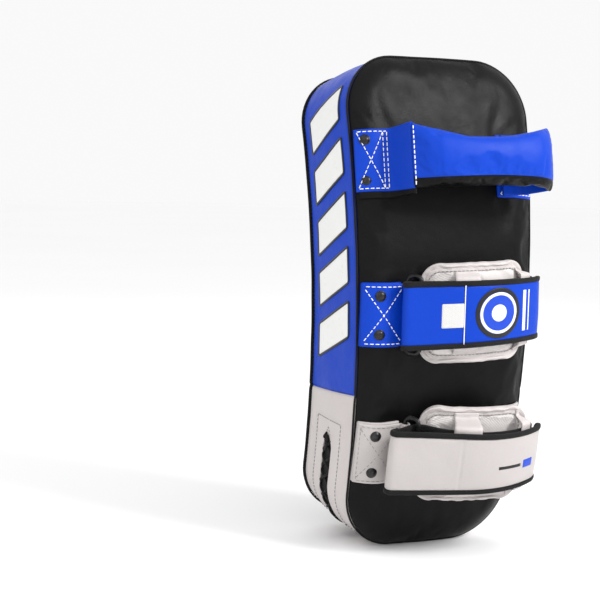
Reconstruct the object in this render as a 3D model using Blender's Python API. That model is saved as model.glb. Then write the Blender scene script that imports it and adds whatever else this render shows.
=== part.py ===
"""Thai pad: a curved kick pad with a grip handle and two forearm straps.

Metres, +Z up, upright. X is the width, the strike face looks to +Y and the straps to -Y.
The pad is laid out flat as (x, s, t): across, along and through it. bend() curves it.
"""
import math

import bmesh
import bpy
from mathutils import Vector

MM = 0.001

# the pad
BEND_RADIUS = 654 * MM          # of its middle layer
HALF_LENGTH = 197 * MM          # along that layer, at the seams
HALF_DEPTH = 44 * MM            # seam to middle
FLARE = 0.07                    # how much longer the strike face is than a plain bend makes it
WIDTH_TOP = 176 * MM
WIDTH_BOTTOM = 153 * MM
CORNER_TOP = 46 * MM
CORNER_BOTTOM = 46 * MM
END_BULGE = 2 * MM
CROWN = {"strike": 8 * MM, "back": 9 * MM}
SHOULDER = 22 * MM
SKIN = 2.0 * MM
GAP = 0.4 * MM
FOAM_INSET = 4.6 * MM
FOAM_CLEAR = 1.2 * MM
CORE_HALF = 15 * MM
WELT_RADIUS = 0.9 * MM
ORIGIN_Y = 12.70 * MM
ORIGIN_Z = 210.89 * MM

# the gusset's colour seam and laced opening, along the pad
SPLIT_S = -70 * MM
SLOT_S = -109 * MM
SLOT_HALF = 7.5 * MM
LACE_RADIUS = 1.1 * MM
LACE_PITCH = 17 * MM
LACE_END = 3 * MM
TONGUE = 1.0 * MM
TONGUE_HALF = 16 * MM

# the straps: where they cross the back and how wide they are
HANDLE_S = 113 * MM
MIDDLE_S = -5 * MM
LOWER_S = -114 * MM
STRAP_HALF = 29 * MM
PATCH_HALF = 27 * MM
STRAP = 3.0 * MM
HEM = 4.6 * MM                  # of the flap's binding
FOLD_START = 1.6 * MM           # past the line on which base and flap meet
TURN_RADIUS = 9 * MM
WIRE = 1.75 * MM
RING_HALF = 32 * MM
RING_REACH = 13.2 * MM
RING_BOW = 4.5 * MM
PILE = 0.7 * MM
PILE_HALF = 24 * MM
CUSHION_RIM = 2.6 * MM          # half its thickness at the edge
CUSHION_FILL = 3.4 * MM         # added to that inside
CUSHION_SLOPE = 9 * MM
CUSHION_CORNER = 17 * MM
KEEPER = 0.9 * MM
KEEPER_LIFT = 0.7 * MM          # over the base strap
KEEPER_GAP = 0.35 * MM          # over the cushion

COLORS = {
    "black_leather": (0.017, 0.017, 0.018),
    "blue_leather": (0.012, 0.075, 0.62),
    "white_leather": (0.72, 0.69, 0.68),
    "black_webbing": (0.012, 0.012, 0.013),
    "black_metal": (0.02, 0.02, 0.02),
    "foam": (0.55, 0.55, 0.57),
    "dense_foam": (0.30, 0.32, 0.36),
    "label": (0.80, 0.79, 0.77),
}


def clear_scene():
    for obj in list(bpy.data.objects):
        bpy.data.objects.remove(obj)


def material(name):
    found = bpy.data.materials.get(name)
    if found is None:
        found = bpy.data.materials.new(name)
        found.use_nodes = True
        shader = found.node_tree.nodes["Principled BSDF"]
        shader.inputs["Base Color"].default_value = (*COLORS[name], 1.0)
        shader.inputs["Roughness"].default_value = 0.3 if name == "black_metal" else 0.55
        shader.inputs["Metallic"].default_value = 1.0 if name == "black_metal" else 0.0
        found.diffuse_color = (*COLORS[name], 1.0)
    return found


def finish(obj, name, kind):
    obj.name = name
    obj.data.materials.append(material(kind))
    PARTS.objects.link(obj)
    return obj


def face_out(mesh):
    bmesh.ops.recalc_face_normals(mesh, faces=mesh.faces[:])
    if mesh.calc_volume(signed=True) < 0:
        bmesh.ops.reverse_faces(mesh, faces=mesh.faces[:])


def slab(name, kind, columns, rows, place, skip=None):
    """A closed slab. place(column, row, side) puts each corner of its two skins."""
    mesh = bmesh.new()
    bmesh.ops.create_grid(mesh, x_segments=columns - 1, y_segments=rows - 1, size=1.0)

    def cell(co):
        return round((co.x + 1) / 2 * (columns - 1)), round((co.y + 1) / 2 * (rows - 1))

    if skip:
        gone = []
        for face in mesh.faces:
            middle = face.calc_center_median()
            column = int((middle.x + 1) / 2 * (columns - 1))
            row = int((middle.y + 1) / 2 * (rows - 1))
            if skip(column, row):
                gone.append(face)
        bmesh.ops.delete(mesh, geom=gone, context="FACES")
    places = {v: cell(v.co) for v in mesh.verts}
    second = bmesh.ops.extrude_face_region(mesh, geom=mesh.faces[:])["geom"]
    raised = {v: cell(v.co) for v in second if isinstance(v, bmesh.types.BMVert)}
    for vert, (i, j) in places.items():
        vert.co = place(i, j, 0)
    for vert, (i, j) in raised.items():
        vert.co = place(i, j, 1)
    face_out(mesh)
    for face in mesh.faces:
        face.smooth = True
    data = bpy.data.meshes.new(name)
    mesh.to_mesh(data)
    mesh.free()
    return finish(bpy.data.objects.new(name, data), name, kind)


def tube(name, kind, points, radius, closed=False, rounding=2):
    """A round cord or wire along points."""
    curve = bpy.data.curves.new(name, "CURVE")
    curve.dimensions = "3D"
    curve.bevel_depth = radius
    curve.bevel_resolution = rounding
    curve.use_fill_caps = not closed
    spline = curve.splines.new("POLY")
    spline.points.add(len(points) - 1)
    for point, co in zip(spline.points, points):
        point.co = (*co, 1.0)
    spline.use_cyclic_u = closed
    spline.use_smooth = True
    return finish(bpy.data.objects.new(name, curve), name, kind)


def set_origin(obj, point):
    """Moves an object's origin onto its joint axis and leaves the shape where it is."""
    if obj.type == "MESH":
        for vert in obj.data.vertices:
            vert.co -= point
    else:
        for spot in obj.data.splines[0].points:
            spot.co = (*(Vector(spot.co[:3]) - point), 1.0)
    obj.location = point


# ---------------------------------------------------------------- the pad's shape

def bend(x, s, t):
    longer = 1 + FLARE * max(0.0, 1 - t / HALF_DEPTH) / 2
    angle = s / BEND_RADIUS * longer
    reach = BEND_RADIUS + t
    y = BEND_RADIUS - reach * math.cos(angle) + ORIGIN_Y
    return Vector((x, y, reach * math.sin(angle) + ORIGIN_Z))


def half_width(s):
    part = (s + HALF_LENGTH) / (2 * HALF_LENGTH)
    return (WIDTH_BOTTOM + (WIDTH_TOP - WIDTH_BOTTOM) * part) / 2


def corner(s):
    return CORNER_TOP if s > 0 else CORNER_BOTTOM


def row_s(row, x, inset=0.0):
    """The s of a row, -1 to 1, at x: straight across the middle, bowed at the ends."""
    past = max(0.0, (abs(row) - 0.2) / 0.8)
    across = x / half_width(row * HALF_LENGTH)
    bow = END_BULGE * past ** 2 * (1 - across ** 2)
    return math.copysign(abs(row) * (HALF_LENGTH - inset) + bow, row)


def row_half(row, inset=0.0):
    """Half the outline's width on a row, corners included."""
    s = row * (HALF_LENGTH - inset)
    radius = corner(s) - inset
    past = max(0.0, abs(s) - (HALF_LENGTH - inset - radius))
    return half_width(s) - inset - radius + math.sqrt(max(0.0, radius ** 2 - past ** 2))


def edge_distance(x, s):
    """How far inside the outline a point is."""
    radius = corner(s)
    across = half_width(s) - radius - abs(x)
    end = HALF_LENGTH + END_BULGE * (1 - (x / half_width(s)) ** 2)
    along = end - radius - abs(s)
    if across >= 0 or along >= 0:
        return radius + min(across, along)
    return radius - math.hypot(across, along)


def crown(side, x, s):
    near = min(1.0, max(0.0, edge_distance(x, s)) / SHOULDER)
    return CROWN[side] * (1 - (1 - near) ** 2)


def end_rows(radius):
    """Rows round one end's corners, from the end inwards, as parts of the half length."""
    return [1 - (radius / HALF_LENGTH) * (1 - math.sin(math.radians(a))) for a in (90, 75, 60, 42, 22, 0)]


# rows lie on the colour seam and the slot's end, and leave one flat facet in the middle
STEPS = (SLOT_S - 21 * MM, SLOT_S, SPLIT_S - 20 * MM, SPLIT_S, -50 * MM, -31 * MM, -12 * MM,
         12 * MM, 32 * MM, 52 * MM, 73 * MM, 94 * MM, 115 * MM, 137 * MM)
ROWS = [-row for row in end_rows(CORNER_BOTTOM)]
ROWS += [s / HALF_LENGTH for s in STEPS] + end_rows(CORNER_TOP)[::-1]
SPREAD = (-1, -0.95, -0.88, -0.80, -0.70, -0.40, 0, 0.40, 0.70, 0.80, 0.88, 0.95, 1)
FOAM_SPREAD = (-1, -0.93, -0.82, -0.66, 0, 0.66, 0.82, 0.93, 1)


def layer(name, kind, columns, inset, low, high, rows=ROWS):
    """A sheet or block of the pad between two heights, each given at (x, s)."""
    def place(i, j, side):
        x = columns[i] * row_half(rows[j], inset)
        s = row_s(rows[j], x, inset)
        return bend(x, s, (high if side else low)(x, s))
    return slab(name, kind, len(columns), len(rows), place)


def outline(inset, count=8):
    """The seam's outline from the bottom centre round to the bottom centre again."""
    right = [(row_half(row, inset), row) for row in ROWS]
    bottom = [(right[0][0] * k / count, ROWS[0]) for k in range(count)]
    top = [(right[-1][0] * k / count, ROWS[-1]) for k in range(count - 1, -count, -1)]
    left = [(-x, row) for x, row in reversed(right)]
    back = [(-right[0][0] * k / count, ROWS[0]) for k in range(count - 1, 0, -1)]
    return [(x, row_s(row, x, inset)) for x, row in bottom + right + top + left + back]


def build_body():
    def under(side, depth):
        """The height of a face of the pad, and how deep under it."""
        sign = 1 if side == "back" else -1
        return lambda x, s: sign * (HALF_DEPTH + crown(side, x, s) - depth)

    def level(t):
        return lambda x, s: t

    for side in ("strike", "back"):
        layer(f"{side}_panel", "black_leather", SPREAD, 0.0, under(side, SKIN), under(side, 0.0))
    foam_top = SKIN + FOAM_CLEAR
    layer("strike_foam", "foam", FOAM_SPREAD, FOAM_INSET, under("strike", foam_top), level(-CORE_HALF - GAP))
    layer("core_foam", "dense_foam", (-1, 0, 1), FOAM_INSET, level(-CORE_HALF), level(CORE_HALF))
    layer("rear_foam", "foam", FOAM_SPREAD, FOAM_INSET, level(CORE_HALF + GAP), under("back", foam_top))

    # the gusset: one wall round the edge, in two colours joined at the side seams
    wall = outline(0.0)
    inner = outline(SKIN)
    count = len(wall)
    half = count // 2
    side_seam = min(range(half), key=lambda i: abs(wall[i][1] - SPLIT_S))
    slot_end = min(range(half), key=lambda i: abs(wall[i][1] - SLOT_S))
    top = HALF_DEPTH - SKIN - GAP
    levels = (-top, -SLOT_HALF, SLOT_HALF, top)

    def ring_point(index, side):
        return (inner if side == 0 else wall)[index % count]

    def gusset(first, heights):
        def place(i, j, side):
            x, s = ring_point(first + i, side)
            return bend(x, s, heights[j])
        return place

    upper_span = count - 2 * side_seam
    slab("upper_gusset", "blue_leather", upper_span + 1, 2,
         gusset(side_seam, (-top, top)))

    lower_span = 2 * side_seam

    def lower(i, j, side):
        x, s = ring_point(i - side_seam, side)
        if i in (0, lower_span):
            s -= 0.3 * MM
        return bend(x, s, levels[j])

    slab("lower_gusset", "white_leather", lower_span + 1, 4, lower,
         skip=lambda i, j: j == 1 and side_seam - slot_end <= i < side_seam + slot_end)

    # behind the slot, a tongue; in it, the lace that closes the cover
    tongue = outline(SKIN + 2 * GAP)
    tongue_in = outline(SKIN + 2 * GAP + TONGUE)
    reach = slot_end + 1

    def place_tongue(i, j, side):
        x, s = (tongue_in if side == 0 else tongue)[(i - reach) % count]
        return bend(x, s, (-TONGUE_HALF, TONGUE_HALF)[j])

    slab("lace_tongue", "black_webbing", 2 * reach + 1, 2, place_tongue)

    mid = outline(LACE_RADIUS - 0.2 * MM)
    path = [mid[i % count] for i in range(-slot_end, slot_end + 1)]
    lengths = [0.0]
    for a, b in zip(path, path[1:]):
        lengths.append(lengths[-1] + math.dist(a, b))
    turns = 2 * round(lengths[-1] / LACE_PITCH / 2)
    points = []
    for k in range(turns * 3 + 1):
        want = LACE_END + (lengths[-1] - 2 * LACE_END) * k / (turns * 3)
        i = max(n for n in range(len(lengths) - 1) if lengths[n] <= want)
        part = (want - lengths[i]) / (lengths[i + 1] - lengths[i])
        x = path[i][0] + (path[i + 1][0] - path[i][0]) * part
        s = path[i][1] + (path[i + 1][1] - path[i][1]) * part
        swing = (-1, -0.5, 0.5, 1, 0.5, -0.5)[k % 6]
        points.append(bend(x, s, swing * (SLOT_HALF - LACE_RADIUS - 0.5 * MM)))
    tube("closure_lace", "black_webbing", points, LACE_RADIUS, rounding=1)

    for name, sign in (("strike_welt", -1), ("back_welt", 1)):
        rim = outline(-WELT_RADIUS - 0.2 * MM)
        depth = sign * (HALF_DEPTH - SKIN / 2)
        tube(name, "black_webbing", [bend(x, s, depth) for x, s in rim], WELT_RADIUS, True, rounding=1)


# ---------------------------------------------------------------- straps

class Place:
    """A flat working frame on the back: X across, h off the pad, v up along it."""

    def __init__(self, s):
        angle = s / BEND_RADIUS
        self.s = s
        self.base = bend(0, s, HALF_DEPTH + CROWN["back"])
        self.out = Vector((0, -math.cos(angle), math.sin(angle)))
        self.up = Vector((0, math.sin(angle), math.cos(angle)))

    def at(self, x, h, v):
        return self.base + Vector((x, 0, 0)) + self.out * h + self.up * v


class Path:
    """A line of (x, h) points with a length along it and a sideways offset."""

    def __init__(self, points):
        self.points = [Vector(p) for p in points]
        self.lengths = [0.0]
        for a, b in zip(self.points, self.points[1:]):
            self.lengths.append(self.lengths[-1] + (b - a).length)
        self.total = self.lengths[-1]

    def normal(self, index):
        """Mitred normal, on the left of the way the path runs."""
        sides = []
        for a, b in ((index - 1, index), (index, index + 1)):
            if a >= 0 and b < len(self.points):
                way = (self.points[b] - self.points[a]).normalized()
                sides.append(Vector((-way.y, way.x)))
        if len(sides) == 1:
            return sides[0]
        total = (sides[0] + sides[1]).normalized()
        return total / max(0.5, total.dot(sides[0]))

    def offset(self, index, distance):
        return self.points[index] + self.normal(index) * distance

    def part(self, first, last, steps):
        """The same line from one length to another, in even steps."""
        return Path([self.at(first + (last - first) * k / steps) for k in range(steps + 1)])

    def at(self, length):
        length = min(max(length, 0.0), self.total)
        index = max(n for n in range(len(self.points) - 1) if self.lengths[n] <= length)
        span = self.lengths[index + 1] - self.lengths[index]
        return self.points[index].lerp(self.points[index + 1], (length - self.lengths[index]) / span)

    def length_at_x(self, x):
        """The first length at which the path reaches x."""
        steps = 2000
        for k in range(steps):
            length = self.total * k / steps
            if self.at(length).x >= x:
                return length
        return self.total


def mm(*points):
    return [(x * MM, h * MM) for x, h in points]


def arc(center, radius, start, end, steps):
    """Points round center, angles in degrees from straight up, clockwise."""
    points = []
    for k in range(steps + 1):
        angle = math.radians(start + (end - start) * k / steps)
        points.append((center[0] + radius * math.sin(angle), center[1] + radius * math.cos(angle)))
    return points


def ribbon(name, kind, place, path, thickness, rows, offset=0.0, skip=None):
    """A strap along a path. rows are its v levels."""
    def put(i, j, side):
        spot = path.offset(i, offset + (side - 0.5) * thickness)
        return place.at(spot.x, spot.y, rows[j])
    return slab(name, kind, len(path.points), len(rows), put, skip=skip)


def patch(name, kind, place, x_edge, x_in, half, thickness=2.2 * MM, lift=0.3 * MM):
    """A sewn patch lying on the back panel from near the seam inwards."""
    xs = [x_edge + (x_in - x_edge) * k / 6 for k in range(7)]
    vs = [-half, -half / 2, 0, half / 2, half]

    def put(i, j, side):
        ratio = BEND_RADIUS / (BEND_RADIUS + HALF_DEPTH + CROWN["back"])
        s = place.s + vs[j] * ratio
        t = HALF_DEPTH + crown("back", xs[i], s) + lift + side * thickness
        return bend(xs[i], s, t)
    return slab(name, kind, len(xs), len(vs), put)


def surface_h(place, x):
    """Height of the back panel under (x, v=0), in a strap's frame."""
    return crown("back", x, place.s) - CROWN["back"]


def rivet(name, place, x, v, lift):
    """A domed rivet cap, flat underneath, square on the patch."""
    step = 0.5 * MM
    slope = (surface_h(place, x + step) - surface_h(place, x - step)) / (2 * step)
    out = (place.out - Vector((1, 0, 0)) * slope).normalized()
    ratio = BEND_RADIUS / (BEND_RADIUS + HALF_DEPTH + CROWN["back"])
    s = place.s + v * ratio
    foot = bend(x, s, HALF_DEPTH + crown("back", x, s)) + out * lift
    data = bpy.data.meshes.new(name)
    mesh = bmesh.new()
    bmesh.ops.create_uvsphere(mesh, u_segments=12, v_segments=6, radius=4.4 * MM)
    plane = bmesh.ops.bisect_plane(mesh, geom=mesh.verts[:] + mesh.edges[:] + mesh.faces[:],
                                   plane_co=(0, 0, 0.0001 * MM), plane_no=(0, 0, 1), clear_inner=True)
    rim = [e for e in plane["geom_cut"] if isinstance(e, bmesh.types.BMEdge)]
    bmesh.ops.contextual_create(mesh, geom=rim)
    turn = Vector((0, 0, 1)).rotation_difference(out)
    for vert in mesh.verts:
        flat = Vector((vert.co.x, vert.co.y, vert.co.z * 0.62))
        vert.co = foot + turn @ flat
    face_out(mesh)
    for item in mesh.faces:
        item.smooth = len(item.verts) < 8
    mesh.to_mesh(data)
    mesh.free()
    return finish(bpy.data.objects.new(name, data), name, "black_metal")


def build_handle():
    place = Place(HANDLE_S)
    half = 26 * MM
    edge = half_width(HANDLE_S) - 1.5 * MM
    lift = 2.2 * MM

    # the left end: a patch sewn down by the seam that turns up into the grip
    spots = [-edge + step * MM for step in (0, 6, 12, 18)]
    left = [(x, surface_h(place, x) + lift) for x in spots]
    left += mm((-62, 2.2), (-59.5, 3.4), (-56.8, 7.5), (-54.6, 14), (-53.1, 21), (-51.8, 27.4))
    right = mm((73.4, 36.0), (72.2, 29), (69, 20), (64.5, 11.5), (59.5, 6.6), (54, 5.2), (49, 5.2))
    ribbon("handle_anchor_left", "blue_leather", place, Path(left), 2.6 * MM, (-half, 0, half))
    ribbon("handle_web_right", "blue_leather", place, Path(right), 2.6 * MM, (-half, 0, half))
    patch("handle_anchor_right", "blue_leather", place, edge, 46 * MM, PATCH_HALF)

    # the grip: a round padded core in a leather cover with a lining on the palm side
    spine = Path(mm((-51.1, 29.6), (-48, 31.4), (-41, 34.8), (-31, 38.6), (-17, 42.4), (0, 45.4), (18, 47.6),
                    (36, 48.6), (52, 48.2), (63, 45.8), (70, 42), (73.8, 38.6)))
    last = len(spine.points) - 1

    def size(i):
        part = spine.lengths[i] / spine.total
        waist = math.sin(math.pi * part)
        body = min(1.0, math.sin(math.pi * min(max(part, 0.0), 1.0)) * 1.9)
        return (27.0 - 5.5 * waist) * MM, (3.6 + 7.4 * body ** 0.8) * MM

    def shell(first, final, turns=9):
        def put(i, j, side):
            angle = math.radians(first + (final - first) * j / turns)
            tall, deep = size(i)
            tall -= (1 - side) * 1.8 * MM
            deep -= (1 - side) * 1.8 * MM
            v = math.copysign(abs(math.cos(angle)) ** 0.85, math.cos(angle)) * tall
            h = math.copysign(abs(math.sin(angle)) ** 0.85, math.sin(angle)) * deep
            spot = spine.offset(i, h)
            return place.at(spot.x, spot.y, v)
        return put

    slab("handle_cover", "blue_leather", last + 1, 10, shell(-44, 134))
    slab("handle_lining", "black_leather", last + 1, 10, shell(136, 314))

    levels = (-1, -0.9, -0.7, -0.4, 0, 0.4, 0.7, 0.9, 1)

    def core(i, j, side):
        tall, deep = size(i)
        tall -= 3.4 * MM
        deep -= 2.6 * MM
        level = levels[j]
        h = (0.3 + 0.7 * max(0.0, 1 - abs(level) ** 2.35) ** 0.425) * deep * (1 if side else -1)
        spot = spine.offset(i, h)
        return place.at(spot.x, spot.y, level * tall * 0.96)

    slab("handle_core", "foam", last + 1, len(levels), core)

    for side, x in (("left", -77), ("right", 73)):
        for level, v in (("upper", 17), ("lower", -17)):
            rivet(f"handle_rivet_{side}_{level}", place, x * MM, v * MM,
                  lift + 1.9 * MM if side == "left" else 2.7 * MM)


# each forearm strap, in millimetres in its own (x, h) frame
STRAPS = {
    "middle": {
        "s": MIDDLE_S, "color": "blue_leather",
        "center": (22.2, -58.4), "radius": 91.7, "start": -34.7, "bend": 25.5, "layers": 5.4,
        "fold": (-50.2, 15.8), "fold_radius": 2.9, "flap_slope": -20,
        "ring": (-45.0, 6.0), "ring_angle": 60, "patch_in": -47,
        "under": ((-50.2, 12.9), (-46, 12.7), (-41, 12.6), (-37, 13.3), (-33.5, 15.0)),
        "down": ((60, 7.2), (55, 5.4), (50, 4.9), (46, 4.8)), "turn_end": 168,
        "cushion_center": (22.2, -58.4), "cushion_radius": 83.7, "cushion": (-41.0, 23.2),
        "cushion_half": 42, "keepers": ((-12, 8), (47, 58)), "fasten": (14, 42),
    },
    "lower": {
        "s": LOWER_S, "color": "white_leather",
        "center": (29.0, -16.3), "radius": 65.3, "start": -54.3, "bend": 27, "layers": 6.6,
        "fold": (-57.0, 22.0), "fold_radius": 3.4, "flap_slope": -22,
        "ring": (-40.0, 6.0), "ring_angle": 64, "patch_in": -42,
        "under": ((-57, 18.6), (-51, 17.3), (-45, 15.6), (-40.5, 14.0), (-36, 13.2), (-32, 13.9),
                  (-28.5, 16.0), (-26, 18.8)),
        "down": ((62.6, 27), (60.4, 19), (56.5, 11.5), (51.5, 6.6), (46, 4.8)), "turn_end": 96,
        "cushion_center": (48.4, -87.6), "cushion_radius": 121.0, "cushion": (-39.1, 4.8),
        "cushion_half": 42, "keepers": ((-10, 10), (46, 56)), "fasten": (14, 42),
    },
}


def build_cushion(name, plan, place):
    """The forearm cushion under the base strap."""
    center = [c * MM for c in plan["cushion_center"]]
    radius = plan["cushion_radius"] * MM
    half_tall = plan["cushion_half"] * MM
    start, end = (math.radians(a) for a in plan["cushion"])
    half_long = (end - start) * radius / 2
    steps = (-1, -0.96, -0.86, -0.6, -0.2, 0.2, 0.6, 0.86, 0.96, 1)

    def put(i, j, side):
        v = steps[j] * half_tall
        past = max(0.0, abs(v) - (half_tall - CUSHION_CORNER))
        reach = half_long - CUSHION_CORNER + math.sqrt(max(0.0, CUSHION_CORNER ** 2 - past ** 2))
        along = steps[i] * reach
        rim = max(0.0, min(half_tall - abs(v), reach - abs(along)))
        thick = CUSHION_RIM + CUSHION_FILL * math.sqrt(min(1.0, rim / CUSHION_SLOPE))
        a = (start + end) / 2 + along / radius
        r = radius + (thick if side else -thick)
        return place.at(center[0] + r * math.sin(a), center[1] + r * math.cos(a), v)

    return slab(f"{name}_cushion", "white_leather", len(steps), len(steps), put)


def build_keeper(name, plan, place, line):
    """A loop over the base strap whose two feet lie on the cushion."""
    center = [c * MM for c in plan["cushion_center"]]
    foot = plan["cushion_radius"] * MM + CUSHION_RIM + CUSHION_FILL + KEEPER_GAP
    over = STRAP / 2 + KEEPER_LIFT
    heights = [STRAP_HALF + c * MM for c in (0.9, 2.6, 4.6)]
    levels = [-v for v in reversed(heights)] + heights

    def put(i, j, side):
        spot = line.offset(i, over + side * KEEPER)
        if abs(levels[j]) > heights[0]:
            a = math.atan2(spot.x - center[0], spot.y - center[1])
            r = foot + side * KEEPER
            spot = Vector((center[0] + r * math.sin(a), center[1] + r * math.cos(a)))
        return place.at(spot.x, spot.y, levels[j])

    return slab(name, "white_leather", len(line.points), len(levels), put)


def build_strap(name, plan):
    """A patch with a ring, the strap through it, and its flap, fastening, cushion and keepers."""
    place = Place(plan["s"])
    kind = plan["color"]
    center = [c * MM for c in plan["center"]]
    radius = plan["radius"] * MM
    layers = plan["layers"] * MM
    fold = [c * MM for c in plan["fold"]]
    angle = math.radians(plan["bend"])
    inward = radius - TURN_RADIUS
    turn_center = (center[0] + inward * math.sin(angle), center[1] + inward * math.cos(angle))

    # anchors
    edge = half_width(plan["s"]) - 1.5 * MM
    patch_in = plan["patch_in"] * MM
    patch(f"{name}_anchor_left", kind, place, -edge, patch_in - 1 * MM, PATCH_HALF)
    patch(f"{name}_anchor_right", kind, place, edge, 44 * MM, PATCH_HALF)

    # a tab on the left anchor wraps the ring's inner bar
    bar = [c * MM for c in plan["ring"]]
    wrap = WIRE + 1.4 * MM
    first = -edge + 1 * MM
    last = bar[0] - 4.2 * MM
    spots = [first + (last - first) * k / 5 for k in range(6)]
    top = [(x, surface_h(place, x) + 4.0 * MM) for x in spots]
    loop = arc(bar, wrap, -150, 168, 12)
    tab = Path(top + loop[1:])
    ribbon(f"{name}_ring_tab", kind, place, tab, 2.0 * MM, (-PATCH_HALF + 1 * MM, PATCH_HALF - 1 * MM))
    for side, x in (("left", -edge + 13 * MM), ("right", edge - 13 * MM)):
        for level, v in (("upper", 16), ("lower", -16)):
            lift = (5.8 if side == "left" else 2.8) * MM
            rivet(f"{name}_rivet_{side}_{level}", place, x, v * MM, lift)

    # the wire ring, standing off the pad
    lean = math.radians(plan["ring_angle"])
    outer, inner, end = RING_REACH - RING_BOW, RING_BOW, RING_HALF - RING_BOW
    wire = []
    for along, up, first in ((outer, end, 0), (inner, end, 90), (inner, -end, 180), (outer, -end, 270)):
        for k in range(5):
            a = math.radians(first + 22.5 * k)
            wire.append((along + RING_BOW * math.cos(a), up + RING_BOW * math.sin(a)))
    ring = tube(f"{name}_ring", "black_metal",
                [place.at(bar[0] + d * math.cos(lean), bar[1] + d * math.sin(lean), v) for d, v in wire],
                WIRE, closed=True)
    set_origin(ring, place.at(bar[0], bar[1], 0))

    # the base strap: from the fold, under the ring's outer bar, over the arm and back down
    around = arc(fold, plan["fold_radius"] * MM, -90, -180, 5)
    base = around[:-1] + mm(*plan["under"]) + arc(center, radius, plan["start"], plan["bend"], 16)
    base += arc(turn_center, TURN_RADIUS, plan["bend"], plan["turn_end"], 7)[1:] + mm(*plan["down"])
    base = Path(base)
    base_body = base.part(FOLD_START, base.total, 44)
    ribbon(f"{name}_strap_base", "black_webbing", place, base_body, STRAP, (-STRAP_HALF, STRAP_HALF))

    # the flap folds back over it to the outside of the turn
    slope = plan["flap_slope"]
    outer = arc(fold, plan["fold_radius"] * MM, -90, slope, 5)
    outer += arc(center, radius + layers, slope, plan["bend"], 14)
    outer += arc(turn_center, TURN_RADIUS + layers, plan["bend"], 88, 5)[1:]
    outer = Path(outer)
    flap_path = outer.part(FOLD_START, outer.total - HEM, 33)
    flap_path = Path(flap_path.points + [outer.at(outer.total)])
    inside = STRAP_HALF - HEM
    pivot = place.at(fold[0] - plan["fold_radius"] * MM, fold[1], 0)
    body = outer.part(FOLD_START, outer.total - HEM - 0.3 * MM, 33)
    flap = ribbon(f"{name}_flap", kind, place, body, STRAP, (-inside, inside))
    edging = ribbon(f"{name}_flap_binding", "black_webbing", place, flap_path, STRAP + 0.8 * MM,
                    (-STRAP_HALF, -inside - 0.3 * MM, inside + 0.3 * MM, STRAP_HALF),
                    skip=lambda i, j: j == 1 and i < len(flap_path.points) - 2)

    # hook and loop between the two
    low, high = (base.length_at_x(x * MM) for x in plan["fasten"])
    pile_levels = (-PILE_HALF, PILE_HALF)
    pile_lift = STRAP / 2 + 0.2 * MM + PILE / 2
    ribbon(f"{name}_loop_pile", "black_webbing", place, base.part(low, high, 8), PILE,
           pile_levels, offset=pile_lift)
    low, high = (outer.length_at_x(x * MM) for x in plan["fasten"])
    hook = ribbon(f"{name}_hook_patch", "black_webbing", place, outer.part(low, high, 8), PILE,
                  pile_levels, offset=-pile_lift)

    sliding = [build_cushion(name, plan, place)]
    for index, (x0, x1) in enumerate(plan["keepers"]):
        low, high = (base.length_at_x(x * MM) for x in (x0, x1))
        side = "left" if index == 0 else "right"
        sliding.append(build_keeper(f"{name}_keeper_{side}", plan, place, base.part(low, high, 4)))
    cushion_center = plan["cushion_center"]
    pad_pivot = place.at(cushion_center[0] * MM, cushion_center[1] * MM, 0)

    moving = [flap, edging, hook]
    if name == "middle":
        moving += build_trim(place, outer)
    for obj in moving:
        set_origin(obj, pivot)
    for obj in sliding:
        set_origin(obj, pad_pivot)


def build_trim(place, path):
    """A care label and a round badge on the middle flap."""
    low, high = path.length_at_x(-25 * MM), path.length_at_x(-7.5 * MM)
    lift = STRAP / 2 + 0.2 * MM
    label = ribbon("middle_label", "label", place, path.part(low, high, 4), 0.4 * MM,
                   (-10.5 * MM, 9.5 * MM), offset=lift + 0.2 * MM)
    middle = path.length_at_x(22.3 * MM)
    size = 21.0 * MM
    count = 9

    def put(i, j, side):
        u, w = (2 * i / (count - 1) - 1), (2 * j / (count - 1) - 1)
        p = u * math.sqrt(1 - w * w / 2) * size
        q = w * math.sqrt(1 - u * u / 2) * size
        spot = path.at(middle + p)
        ahead = (path.at(middle + p + 0.5 * MM) - path.at(middle + p - 0.5 * MM)).normalized()
        spot = spot + Vector((-ahead.y, ahead.x)) * (lift + side * 0.6 * MM)
        return place.at(spot.x, spot.y, q)

    badge = slab("middle_badge", "black_webbing", count, count, put)
    return [label, badge]


clear_scene()
PARTS = bpy.data.collections.new("thai_pad")
bpy.context.scene.collection.children.link(PARTS)
build_body()
build_handle()
for strap_name, strap_plan in STRAPS.items():
    build_strap(strap_name, strap_plan)
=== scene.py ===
import math

import bmesh
import bpy
from mathutils import Matrix, Vector, noise
from mathutils.bvhtree import BVHTree


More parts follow.
